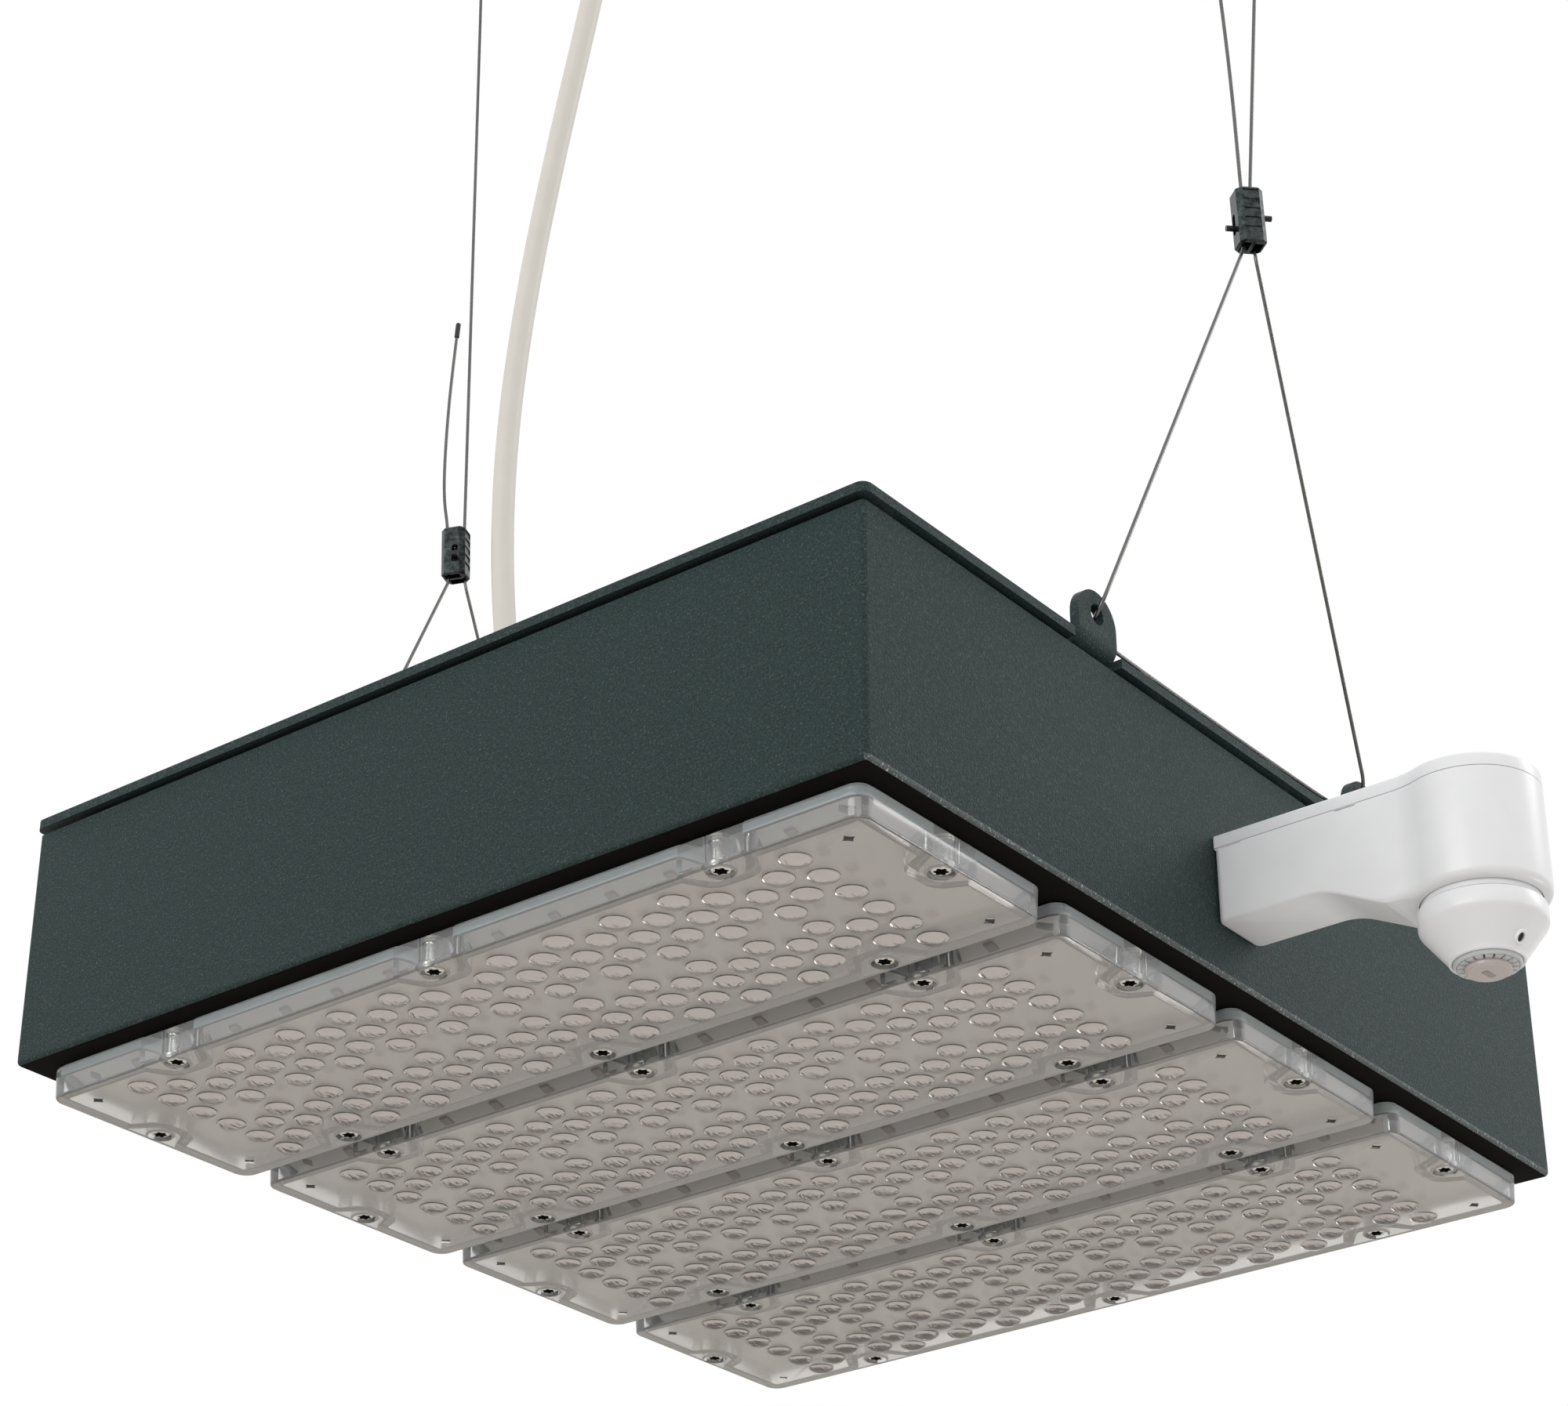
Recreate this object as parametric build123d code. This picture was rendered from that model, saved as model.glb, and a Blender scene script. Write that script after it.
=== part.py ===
from build123d import *
import math
import os

# Suspended LED grow light: a flat sheet-steel luminaire with four lens modules, hung from the
# ceiling by two height-adjustable wire ropes, with a mains cable and a presence-sensor arm.
# Millimetres, +Z up. Part frame: origin on the ceiling, midway between the two anchor screws.
# Fixture frame: origin at the middle of the lid's top face; X runs along the lens modules.

# ---- driving dimensions --------------------------------------------------------------------
ANCHOR_SPACING = 367.6       # between the two ceiling anchors
FIXTURE_X = -19.7            # the fixture hangs a little off the middle of the anchors
DROP = 485.0                 # ceiling to the lid's top face

HOUSING_X, HOUSING_Y, HOUSING_H = 315.0, 361.5, 76.0
SHEET = 1.5                  # housing sheet thickness
LID_X, LID_Y, LID_T = 317.5, 363.5, 3.0
LID_GAP = 2.0                # joint between lid and housing
HOUSING_TOP = -LID_T - LID_GAP
HOUSING_BOTTOM = HOUSING_TOP - HOUSING_H
SPREADER_T = 3.0             # aluminium heat spreader on the housing's floor

MODULE_PITCH = 88.5          # lens modules, front to back
MODULE_X, MODULE_Y = 301.0, 81.8
COVER_DRAFT = 1.2            # the cover is this much smaller at its face, for the mould
SKIRT = 1.4                  # the cover's outer wall
GASKET_W = 2.0               # silicone cord in the rebate behind it
SEAL_WALL = 1.3              # between the rebate and the lens chamber
COVER_TOP = HOUSING_BOTTOM - 0.8
COVER_FACE = HOUSING_BOTTOM - 10.1
COVER_WALL = 2.0
RIM_H = 2.8                  # depth of the gasket's rebate
LENS_ROW = 12.0              # hexagonal lens pattern
LENS_COLUMN = 10.07
LENS_R = 4.5
LENS_RISE = 2.1
SCREW_X, SCREW_Y, SCREW_END = 100.7, 35.4, 145.2
BOSS_R = 4.45
BOARD_T = 1.6

LUG_MIDDLE, LUG_Y = 1.3, 74.2    # suspension lugs, bent up from the lid's two short edges
LUG_W = 19.0
LUG_SLOT = 2.2               # relief slot on each side of a lug
LUG_HEAD_Z = 6.9
LUG_HOLE_Z = 9.0
LUG_HOLE_R = 3.2
LEG_FOOT_Y = 72.2            # where a wire's leg reaches its lug

WIRE_D = 1.2
GRIP_W, GRIP_T, GRIP_H = 8.9, 9.1, 19.6
GRIP_WIRE = (2.4, 2.3)       # a wire channel's place in the gripper block, from its middle
RELEASE_TRAVEL = 3.0
PIN_INWARD = 3.4             # the release pin stands this far inward from its wire
PIN_Z = {-1: 7.0, 1: 10.2}   # front and rear pins
WEDGE_TOP = {-1: 10.2, 1: 11.4}

CABLE_D = 8.3
GLAND_X = -123.0             # mains inlet in the lid

ARM_TOP, ARM_SEAM, ARM_NECK, ARM_BOTTOM = -37.7, -42.0, -65.0, -74.8
HEAD_X, HEAD_Y, HEAD_R = 231.0, 1.0, 19.8

MODULES = [-1.5 * MODULE_PITCH, -0.5 * MODULE_PITCH, 0.5 * MODULE_PITCH, 1.5 * MODULE_PITCH]
FIXTURE = Location((FIXTURE_X, 0, -DROP))
HERE = Location((0, 0, 0))

# Each gripper block hangs in its wires: the middle of its lower face, its tilt about X and Y, its
# turn about its own axis, where the two legs leave it, and the free end's route above it.
SIDES = {
    "left": dict(
        sign=-1, grip=(-161.9, 0, 173.2), tilt=(3.0, 0.3), yaw=23.0,
        exits=((-1.5, -2.0), (2.7, 2.2)),
        tail=[(-165.4, -4.4, 205.2), (-165.9, -4.7, 219.5), (-165.4, -4.9, 239.9),
              (-164.0, -5.2, 260.2), (-162.3, -5.4, 277.0)]),
    "right": dict(
        sign=1, grip=(176.3, 0, 169.4), tilt=(6.8, 2.5), yaw=-41.0,
        exits=((0.3, -2.7), (-2.6, 2.0)),
        tail=[(177.5, -6.1, 203.0), (177.4, -6.3, 219.0), (177.0, -6.5, 238.0),
              (176.4, -6.8, 257.0), (175.4, -7.0, 279.0), (173.9, -7.2, 301.0)]),
}


# ---- small helpers ---------------------------------------------------------------------------
def block(x0, x1, y0, y1, z0, z1):
    """A box from its low and high corners."""
    return Pos((x0 + x1) / 2, (y0 + y1) / 2, (z0 + z1) / 2) * Box(x1 - x0, y1 - y0, z1 - z0)


def disc(x, y, z0, z1, r):
    """A vertical cylinder between two heights."""
    return Pos(x, y, (z0 + z1) / 2) * Cylinder(r, z1 - z0)


def plate(x, y, z0, z1, corner):
    """A rounded rectangle about the Z axis, between two heights."""
    return extrude(Pos(0, 0, z0) * RectangleRounded(x, y, corner), z1 - z0)


def rod(a, b, r):
    """A round bar between two points."""
    a, b = Vector(a), Vector(b)
    return Solid.make_cylinder(r, (b - a).length, Plane(origin=a, z_dir=b - a))


def bend_radii(points):
    """The arc for each corner: 0.45 of the shorter run over the tangent of half the turn."""
    radii = []
    for a, b, c in zip(points, points[1:], points[2:]):
        run_in, run_out = Vector(b) - Vector(a), Vector(c) - Vector(b)
        turn = math.radians(run_in.get_angle(run_out))
        radii.append(0.45 * min(run_in.length, run_out.length) / math.tan(turn / 2))
    return radii


def cord(name, points, diameter):
    """A round cord along straight runs joined by tangent arcs."""
    radii = bend_radii(points)
    line = FilletPolyline(*points, radius=radii)
    tube = sweep(Plane(origin=line @ 0, z_dir=line % 0) * Circle(diameter / 2), path=line)
    rough = math.pi * diameter ** 2 / 4 * line.length
    print(name, "length", round(line.length, 1), "radii", [round(r, 1) for r in radii],
          "volume ratio", round(tube.volume / rough, 4))
    return tube


def pan_screw(x, y, seat, head_r, head_h, shank_r, shank_l, up=True):
    """A pan-head screw with a socket. The head hangs below its seat when up is true."""
    head = disc(x, y, seat - head_h, seat, head_r)
    head = fillet(head.edges().sort_by(Axis.Z)[0], 0.35 * head_h)
    socket = Pos(x, y, seat - head_h) * extrude(RegularPolygon(0.5 * head_r, 6), 0.6 * head_h)
    screw = head - socket + disc(x, y, seat, seat + shank_l, shank_r)
    if up:
        return screw
    return Pos(0, 0, 2 * seat) * mirror(screw, Plane.XY)


# ---- housing ---------------------------------------------------------------------------------
def housing_shell():
    """A folded steel pan with rounded lower edges and a flange turned in along its top."""
    outer = block(-HOUSING_X / 2, HOUSING_X / 2, -HOUSING_Y / 2, HOUSING_Y / 2, HOUSING_BOTTOM, HOUSING_TOP)
    outer = fillet(outer.edges().filter_by(Axis.Z), 1.6)
    outer = fillet(outer.faces().sort_by(Axis.Z)[0].edges(), 2.6)
    inner_x, inner_y = HOUSING_X - 2 * SHEET, HOUSING_Y - 2 * SHEET
    shell = outer - plate(inner_x, inner_y, HOUSING_BOTTOM + SHEET, HOUSING_TOP - SHEET, 1.5)
    shell -= plate(inner_x - 28, inner_y - 28, HOUSING_TOP - 2 * SHEET, HOUSING_TOP + 1, 3)
    floor = (HOUSING_BOTTOM - 1, HOUSING_BOTTOM + SHEET + 1)
    shell -= [disc(x, y, *floor, 2.1) for x, y in module_screw_places()]
    shell -= [disc(120, y, *floor, 4) for y in MODULES]
    shell -= [disc(x, y, HOUSING_TOP - 3, HOUSING_TOP + 1, 1.9) for x, y in lid_screw_places()]
    wall = HOUSING_X / 2
    for y, z, r in sensor_fixing_places() + [(-5, -50, 4)]:
        shell -= rod((wall - 3, y, z), (wall + 2, y, z), r)
    return shell


def lid_screw_places():
    return [(sx * 153.0, sy * y) for sx in (-1, 1) for sy in (-1, 1) for y in (35.0, 165.0)]


def lid_plate():
    """The flat lid, with four lugs cut free by relief slots and bent up at its short edges."""
    lid = plate(LID_X, LID_Y, -LID_T, 0, 3)
    for sx in (-1, 1):
        for y in (LUG_MIDDLE - LUG_Y, LUG_MIDDLE + LUG_Y):
            edge = sx * LID_X / 2
            low, high = sorted((edge - sx * 8.0, edge + sx * 2))
            reach = LUG_W / 2 + LUG_SLOT
            lid -= block(low, high, y - reach, y + reach, -LID_T - 1, 1)
            lid += lug(sx, y)
    lid -= [disc(x, y, -LID_T - 1, 1, 2.3) for x, y in lid_screw_places()]
    lid -= disc(GLAND_X, 0, -LID_T - 1, 1, 8.2)
    return lid


def lug(sx, y):
    """One lug: a strip that turns up through a bend, with a round head about its hole."""
    edge = LID_X / 2
    bend = 5.0
    with BuildPart() as made:
        with BuildSketch(Plane.XZ.offset(-(y + LUG_W / 2))):
            with BuildLine():
                Polyline((edge - 9, 0), (edge - 9, -LID_T), (edge - bend, -LID_T))
                RadiusArc((edge - bend, -LID_T), (edge, -LID_T + bend), -bend)
                Polyline((edge, -LID_T + bend), (edge, 18), (edge - LID_T, 18), (edge - LID_T, -LID_T + bend))
                RadiusArc((edge - LID_T, -LID_T + bend), (edge - bend, 0), bend - LID_T)
                Line((edge - bend, 0), (edge - 9, 0))
            make_face()
        extrude(amount=LUG_W)
    strip = made.part
    head = Pos(0, y, LUG_HEAD_Z) * Rot(0, 90, 0) * Cylinder(LUG_W / 2, 2 * LID_X)
    keep = block(-LID_X, LID_X, y - LUG_W / 2, y + LUG_W / 2, -5, LUG_HEAD_Z) + head
    strip = strip & keep
    strip -= Pos(0, y, LUG_HOLE_Z) * Rot(0, 90, 0) * Cylinder(LUG_HOLE_R, 2 * LID_X)
    return strip if sx > 0 else mirror(strip, Plane.YZ)


def lid_gasket():
    ring = plate(299, 345.5, HOUSING_TOP, -LID_T, 4) - plate(287, 333.5, HOUSING_TOP - 1, 0, 3)
    return ring


def lid_screws():
    return [pan_screw(x, y, 0, 3.6, 2.2, 1.9, 8.5, up=False) for x, y in lid_screw_places()]


def heat_spreader():
    """The aluminium plate on the housing's floor that the modules' screws thread into."""
    low = HOUSING_BOTTOM + SHEET
    sheet = plate(311, 357.5, low, low + SPREADER_T, 2)
    sheet -= [disc(x, y, low - 1, low + SPREADER_T + 1, 2.0) for x, y in module_screw_places()]
    sheet -= [disc(120, y, low - 1, low + SPREADER_T + 1, 4) for y in MODULES]
    sheet -= [disc(x, y, low + 0.5, low + 4, 1.5) for x, y in driver_screw_places()]
    return sheet


# ---- lens modules ----------------------------------------------------------------------------
def screw_places():
    """The eight screws of one module, about its middle."""
    sides = [(x, sy * SCREW_Y) for sy in (-1, 1) for x in (-SCREW_X, 0, SCREW_X)]
    return sides + [(-SCREW_END, 0), (SCREW_END, 0)]


def module_screw_places():
    return [(x, y + middle) for middle in MODULES for x, y in screw_places()]


def lens_places():
    """The 120 lenses of one module: 25 staggered columns, left out beside the side screws."""
    places = []
    for column in range(-12, 13):
        rows = (0.5, 1.5, 2.5) if column % 2 == 0 else (1, 2)
        if column in (-10, 0, 10):
            rows = (0.5, 1.5)
        places += [(column * LENS_COLUMN, s * row * LENS_ROW) for row in rows for s in (-1, 1)]
    return places


def pocket(x, y, z0, z1, grow):
    """A tapered recess from the module's edge in round one screw boss."""
    end = y == 0
    reach = (MODULE_X if end else MODULE_Y) / 2
    wide, narrow, deep = (10.0, 4.2, 10.0) if end else (11.8, 4.6, 10.0)
    shape = Polygon((-wide - grow, 1), (-wide - grow, 0), (-narrow - grow, -deep - grow),
                    (narrow + grow, -deep - grow), (wide + grow, 0), (wide + grow, 1), align=None)
    turn = {(-1, True): 90, (1, True): -90, (-1, False): 180, (1, False): 0}
    side = (1 if x > 0 else -1) if end else (1 if y > 0 else -1)
    spot = Pos(side * reach, 0, z0) if end else Pos(x, side * reach, z0)
    return extrude(spot * Rot(0, 0, turn[(side, end)]) * shape, z1 - z0)


def sealed(inset, z0, z1):
    """The area inset from a module's edge that passes inside every screw."""
    area = plate(MODULE_X - 2 * inset, MODULE_Y - 2 * inset, z0, z1, max(5.5 - inset, 1.0))
    return area - [pocket(x, y, z0 - 1, z1 + 1, inset - SKIRT) for x, y in screw_places()]


def lens_cover():
    """One clear tray: a closed skirt, a well round every screw boss, and a lens over every LED."""
    low = Pos(0, 0, COVER_FACE) * RectangleRounded(MODULE_X - COVER_DRAFT, MODULE_Y - COVER_DRAFT, 4.9)
    high = Pos(0, 0, COVER_TOP) * RectangleRounded(MODULE_X, MODULE_Y, 5.5)
    tray = loft([low, high], ruled=True)
    rebate = COVER_TOP - RIM_H
    tray -= sealed(SKIRT, rebate, COVER_TOP + 1) - sealed(SKIRT + GASKET_W, rebate - 1, COVER_TOP + 2)
    tray -= sealed(SKIRT + GASKET_W + SEAL_WALL, COVER_FACE + COVER_WALL, COVER_TOP + 1)
    inside = plate(MODULE_X - 2 * SKIRT, MODULE_Y - 2 * SKIRT, COVER_FACE + 1.8, COVER_TOP + 1, 4.1)
    for x, y in screw_places():
        well = pocket(x, y, COVER_FACE + 1.8, COVER_TOP + 1, 0) & inside
        tray -= well - disc(x, y, COVER_FACE, COVER_TOP + 2, BOSS_R)
    tray -= [disc(x, y, COVER_FACE - 1, COVER_TOP + 1, 2.15) for x, y in screw_places()]
    tray -= [disc(x, y, COVER_FACE - 1, COVER_FACE + 2.5, 3.8) for x, y in screw_places()]
    ball = (LENS_R ** 2 + LENS_RISE ** 2) / (2 * LENS_RISE)
    cap = Pos(0, 0, COVER_FACE + ball - LENS_RISE) * Sphere(ball)
    cap = cap & block(-9, 9, -9, 9, COVER_FACE - 9, COVER_FACE + 0.4)
    return tray + [Pos(x, y, 0) * cap for x, y in lens_places()]


def led_board():
    """The aluminium circuit board behind one cover, notched round the screw wells."""
    top = HOUSING_BOTTOM
    board = plate(291, 72, top - BOARD_T, top, 3)
    around = GASKET_W + SEAL_WALL + 0.3
    board -= [pocket(x, y, top - 3, top + 1, around) for x, y in screw_places()]
    marks = [(sx * 138.7, sy * 31.0) for sx in (-1, 1) for sy in (-1, 1)]
    board -= [Pos(x, y, top - 1) * Rot(0, 0, 45) * Box(2.8, 2.8, 6) for x, y in marks]
    return board


def leds():
    """Every LED package of all four boards."""
    low = HOUSING_BOTTOM - BOARD_T - 0.7
    chip = block(-1.5, 1.5, -1.5, 1.5, low, low + 0.7)
    return [Pos(x, y + middle, 0) * chip for middle in MODULES for x, y in lens_places()]


def cover_gaskets():
    """A silicone cord in each cover's rebate, pressed on the housing's floor."""
    low = COVER_TOP - RIM_H
    ring = sealed(SKIRT + 0.1, low, HOUSING_BOTTOM)
    ring -= sealed(SKIRT + GASKET_W - 0.1, low - 1, HOUSING_BOTTOM + 1)
    return [Pos(0, middle, 0) * ring for middle in MODULES]


def module_screws():
    seat = COVER_FACE + 2.5
    length = HOUSING_BOTTOM + SHEET + SPREADER_T - 0.5 - seat
    return [pan_screw(x, y, seat, 3.55, 1.9, 2.0, length) for x, y in module_screw_places()]


# ---- electrical parts inside the housing -----------------------------------------------------
INSIDE_FLOOR = HOUSING_BOTTOM + SHEET + SPREADER_T
DRIVER_Y = 95.0


def driver_screw_places():
    return [(x, sy * DRIVER_Y) for x in (-86.0, 106.0) for sy in (-1, 1)]


def led_driver(y):
    """A closed driver case with a fixing foot at each end."""
    case = block(-80, 100, y - 29, y + 29, INSIDE_FLOOR, INSIDE_FLOOR + 36)
    case = fillet(case.edges().filter_by(Axis.X), 3)
    feet = block(-92, 112, y - 20, y + 20, INSIDE_FLOOR, INSIDE_FLOOR + 2)
    feet -= [disc(x, y, INSIDE_FLOOR - 1, INSIDE_FLOOR + 3, 2.2) for x in (-86, 106)]
    return case + feet


def driver_screws():
    seat = INSIDE_FLOOR + 2
    return [pan_screw(x, y, seat, 3.4, 2.0, 1.5, 4.4, up=False) for x, y in driver_screw_places()]


def terminal_block():
    """A five-pole screw terminal block."""
    body = block(-135, -113, -30, 30, INSIDE_FLOOR, INSIDE_FLOOR + 15)
    for pole in range(-2, 3):
        y = pole * 11.0
        body -= rod((-140, y, INSIDE_FLOOR + 6), (-130, y, INSIDE_FLOOR + 6), 2.2)
        body -= rod((-118, y, INSIDE_FLOOR + 6), (-108, y, INSIDE_FLOOR + 6), 2.2)
        body -= disc(-129, y, INSIDE_FLOOR + 10, INSIDE_FLOOR + 16, 2.6)
        body -= disc(-119, y, INSIDE_FLOOR + 10, INSIDE_FLOOR + 16, 2.6)
    return body


def internal_wires():
    """Single-core leads from the terminals to the drivers, the boards and the sensor arm."""
    z = INSIDE_FLOOR + 6
    wires = []
    for sy in (-1, 1):
        run = [(-117.6, sy * 22, z), (-108, sy * 23, z), (-103, sy * 45, z + 4),
               (-97, sy * 84, z + 9), (-80.3, sy * 88, z + 10)]
        wires.append(lead(run))
        for end, start in ((1.5, 104), (0.5, 86)):
            board_y = sy * end * MODULE_PITCH
            run = [(100.3, sy * start, z + 12), (112, sy * start, z + 13),
                   (119.5, board_y + sy * 2, z + 6), (120, board_y, z - 3), (120.2, board_y, HOUSING_BOTTOM + 0.1)]
            wires.append(lead(run))
    run = [(100.4, 74, z + 16), (116, 70, z + 17), (130, 30, z + 19), (146, -3, -50.2), (162, -5, -50)]
    wires.append(lead(run))
    return wires


def lead(points):
    line = FilletPolyline(*points, radius=[0.8 * r for r in bend_radii(points)])
    return sweep(Plane(origin=line @ 0, z_dir=line % 0) * Circle(0.9), path=line)


# ---- mains cable -----------------------------------------------------------------------------
# The route in the fixture frame, from the gland up to the ceiling outlet.
MAINS_ROUTE = [
    (-123.0, 0, 19), (-123.0, 0, 58), (-131.5, 0, 108), (-139.4, 0, 166), (-139.8, 0, 226),
    (-132.0, 0, 290), (-119.0, 0, 352), (-105.5, 0, 408), (-98.8, 0, 438), (-98.8, 0, 463),
]
OUTLET_X = MAINS_ROUTE[-1][0]


def mains_cable():
    return cord("mains_cable", MAINS_ROUTE, CABLE_D)


def mains_cable_inner():
    """The stripped end inside the housing: sheath down from the gland, then five cores."""
    route = [(-123.0, 0, 19), (-123.0, 0, -22)]
    sheath = rod(*route, CABLE_D / 2)
    cores = []
    for pole in range(-2, 3):
        y = pole * 11.0
        start = (-123 + (1.7 if pole % 2 else -1.7), 0.9 * pole, -22)
        z = INSIDE_FLOOR + 6
        run = [start, (start[0] - 1.5, start[1] * 1.2, -31), (-141, 0.8 * y, -44),
               (-145.5, y, z + 6), (-143, y * 1.01, z + 0.4), (-131, y, z)]
        cores.append(lead(run))
    return [sheath] + cores


def gland_body():
    """The gland's lower half: a thread through the lid and a hexagon on top of it."""
    hexagon = extrude(RegularPolygon(13.5, 6), 5.5)
    hexagon = Pos(GLAND_X, 0, 0) * hexagon
    body = hexagon + disc(GLAND_X, 0, 5.5, 11, 9.2) + disc(GLAND_X, 0, -LID_T - 8, 0, 8.0)
    return body - disc(GLAND_X, 0, -20, 20, 4.4)


def gland_nut():
    """The domed cap nut that squeezes the seal."""
    nut = disc(GLAND_X, 0, 6.0, 19, 12.4)
    nut = nut & (Pos(GLAND_X, 0, 0) * extrude(RegularPolygon(13.2, 6), 30))
    nut = fillet(nut.faces().sort_by(Axis.Z)[-1].edges(), 2.4)
    nut -= disc(GLAND_X, 0, 5, 13, 9.4)
    return nut - disc(GLAND_X, 0, 5, 30, 4.6)


def gland_locknut():
    nut = Pos(GLAND_X, 0, -LID_T - 4) * extrude(RegularPolygon(13.0, 6), 4)
    return nut - disc(GLAND_X, 0, -20, 5, 8.0)


def gland_seal():
    """The rubber ring that grips the cable under the cap nut."""
    return disc(GLAND_X, 0, 11.1, 12.9, 9.0) - disc(GLAND_X, 0, 10, 20, 4.3)


# ---- suspension ------------------------------------------------------------------------------
def grip_frame(side):
    """The gripper block: its origin at the middle of its lower face, Z up its own axis."""
    data = SIDES[side]
    return Location(data["grip"], (*data["tilt"], data["yaw"]))


def channel(side, end):
    """A wire channel's place in the block. The front one, at -Y, takes the tail."""
    x, y = GRIP_WIRE
    return (end * x * (1 if side == "left" else -1), end * y)


def chamber(side, end, near, far):
    """How far along X one wedge chamber runs, between two distances inward from its wire."""
    x, y = channel(side, end)
    inward = -1 if x > 0 else 1
    return sorted((x + inward * near, x + inward * far))


def grip_body(side):
    """A zinc block with two wedge chambers, a release slot in each narrow face and ribbed flanks."""
    body = Box(GRIP_T, GRIP_W, GRIP_H, align=(Align.CENTER, Align.CENTER, Align.MIN))
    body = chamfer(body.edges().filter_by(Axis.Z), 1.7)
    body = chamfer(body.faces().sort_by(Axis.Z)[0].edges() + body.faces().sort_by(Axis.Z)[-1].edges(), 0.5)
    for rib in range(5):
        z = 3.3 + 3.3 * rib
        for s in (-1, 1):
            low, high = sorted((s * (GRIP_T / 2 - 0.35), s * GRIP_T))
            body -= block(low, high, -2.6, 2.6, z, z + 2.1)
    for end in (-1, 1):
        x, y = channel(side, end)
        body -= block(*chamber(side, end, -0.9, 4.9), *sorted((end * 0.6, end * 3.5)), -1, 16.6)
        body -= disc(x, y, 15, GRIP_H + 1, 1.0)
        slot_x = sum(chamber(side, end, PIN_INWARD, PIN_INWARD)) / 2
        slot_z = PIN_Z[end] + 1.3
        body -= Pos(slot_x, end * 4, slot_z) * Rot(90, 0, 0) * extrude(SlotOverall(7.2, 2.4, rotation=90), 2, both=True)
    return grip_frame(side) * body


def release_wedge(side, end):
    """The sprung wedge of one channel and the cross pin that sticks out through the slot."""
    top = WEDGE_TOP[end]
    wedge = block(*chamber(side, end, 0.95, 4.6), *sorted((end * 0.8, end * 3.3)), 5.4, top)
    wedge = chamfer(wedge.faces().sort_by(Axis.Z)[0].edges(), 0.3)
    pin_x = chamber(side, end, PIN_INWARD, PIN_INWARD)[0]
    pin = rod((pin_x, end * 2.0, PIN_Z[end]), (pin_x, end * (GRIP_W / 2 + 2.8), PIN_Z[end]), 0.95)
    return grip_frame(side) * (wedge + pin)


def release_spring(side, end):
    """The small coil spring that pushes the wedge down onto the wire."""
    low = WEDGE_TOP[end] + 0.25
    height, wire, radius = 16.35 - low, 0.3, 0.95
    path = Helix(pitch=height / 5, height=height, radius=radius)
    coil = sweep(Plane(origin=path @ 0, z_dir=path % 0) * Circle(wire / 2), path=path)
    x = chamber(side, end, 2.8, 2.8)[0]
    return grip_frame(side) * (Pos(x, end * 2.05, low) * coil)


def channel_point(side, end, z):
    """A point on a channel's axis, in the fixture frame."""
    x, y = channel(side, end)
    return (grip_frame(side) * Location((x, y, z))).position


def leg_exit(side, end):
    """The point just under the block where a leg leaves its channel."""
    x, y = SIDES[side]["exits"][0 if end < 0 else 1]
    return (grip_frame(side) * Location((x, y, -1.0))).position


def anchor_point(side):
    """The middle of the wire's ball end, in the fixture frame."""
    return Vector(SIDES[side]["sign"] * ANCHOR_SPACING / 2 - FIXTURE_X, 0, DROP - BALL_DROP)


def wire_upper(side):
    """The loaded wire from the gripper's rear channel to the ball in the ceiling anchor."""
    top = anchor_point(side) - Vector(0, 0, 2)
    points = [channel_point(side, 1, 12), channel_point(side, 1, GRIP_H + 1), top]
    return cord("wire_upper_" + side, [tuple(p) for p in points], WIRE_D)


def wire_loop(side):
    """The same wire below: down to the rear lug, along the lid's edge, up from the front lug."""
    sign = SIDES[side]["sign"]
    outer, inner = sign * (LID_X / 2 + 2.4), sign * (LID_X / 2 - LID_T - 2.4)
    points = []
    for end in (1, -1):
        lug_y = LUG_MIDDLE + end * LUG_Y
        leg = [
            channel_point(side, end, 12),
            channel_point(side, end, 6.5),
            leg_exit(side, end),
            (outer, end * LEG_FOOT_Y, LUG_HOLE_Z + 5.4),
            (outer - sign * 3.1, lug_y - end * 0.9, LUG_HOLE_Z + 1.0),
            (inner, lug_y - end * 3.4, LUG_HOLE_Z - 1.8),
            (inner, end * 51.0, LUG_HOLE_Z - 2.8),
        ]
        points += leg if end > 0 else leg[::-1]
    return cord("wire_loop_" + side, [tuple(Vector(p)) for p in points], WIRE_D)


def wire_tail(side):
    """The free end's route above the gripper's front channel."""
    start, mouth = channel_point(side, -1, 12), channel_point(side, -1, GRIP_H + 1)
    return [tuple(start), tuple(mouth)] + SIDES[side]["tail"]


def wire_tail_tube(side):
    return cord("wire_tail_" + side, wire_tail(side), WIRE_D)


def wire_tips():
    """The black crimped tip on each wire's free end."""
    tips = []
    for side in SIDES:
        points = wire_tail(side)
        end = Vector(points[-1])
        along = (end - Vector(points[-2])).normalized()
        tips.append(rod(end, end + along * 6, 0.95))
    return tips


# ---- ceiling fittings, in the part frame -----------------------------------------------------
BALL_R = 2.5
BALL_DROP = 22.9             # ceiling to the ball's middle
CAP_H = 28.0


def on_ceiling(shape):
    return [Pos(s * ANCHOR_SPACING / 2, 0, 0) * shape for s in (-1, 1)]


def anchor_bases():
    """A foot with one countersunk screw hole and a threaded neck for the cap."""
    foot = disc(0, 0, -3, 0, 13) + disc(0, 0, -11, -3, 6.4)
    foot -= disc(0, 0, -12, 1, 2.25)
    foot -= disc(0, 0, -12, -5.5, 4.4)
    return on_ceiling(foot)


def anchor_caps():
    """The turned cap that holds the ball end."""
    cap = disc(0, 0, -14, -3.2, 9) + Pos(0, 0, -21) * Cone(6, 9, 14)
    cap -= disc(0, 0, -14, -3, 6.5)
    cap -= disc(0, 0, -CAP_H + 3, -13, 3.2)
    cap -= disc(0, 0, -CAP_H - 1, -13, 1.5)
    return on_ceiling(cap)


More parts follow.
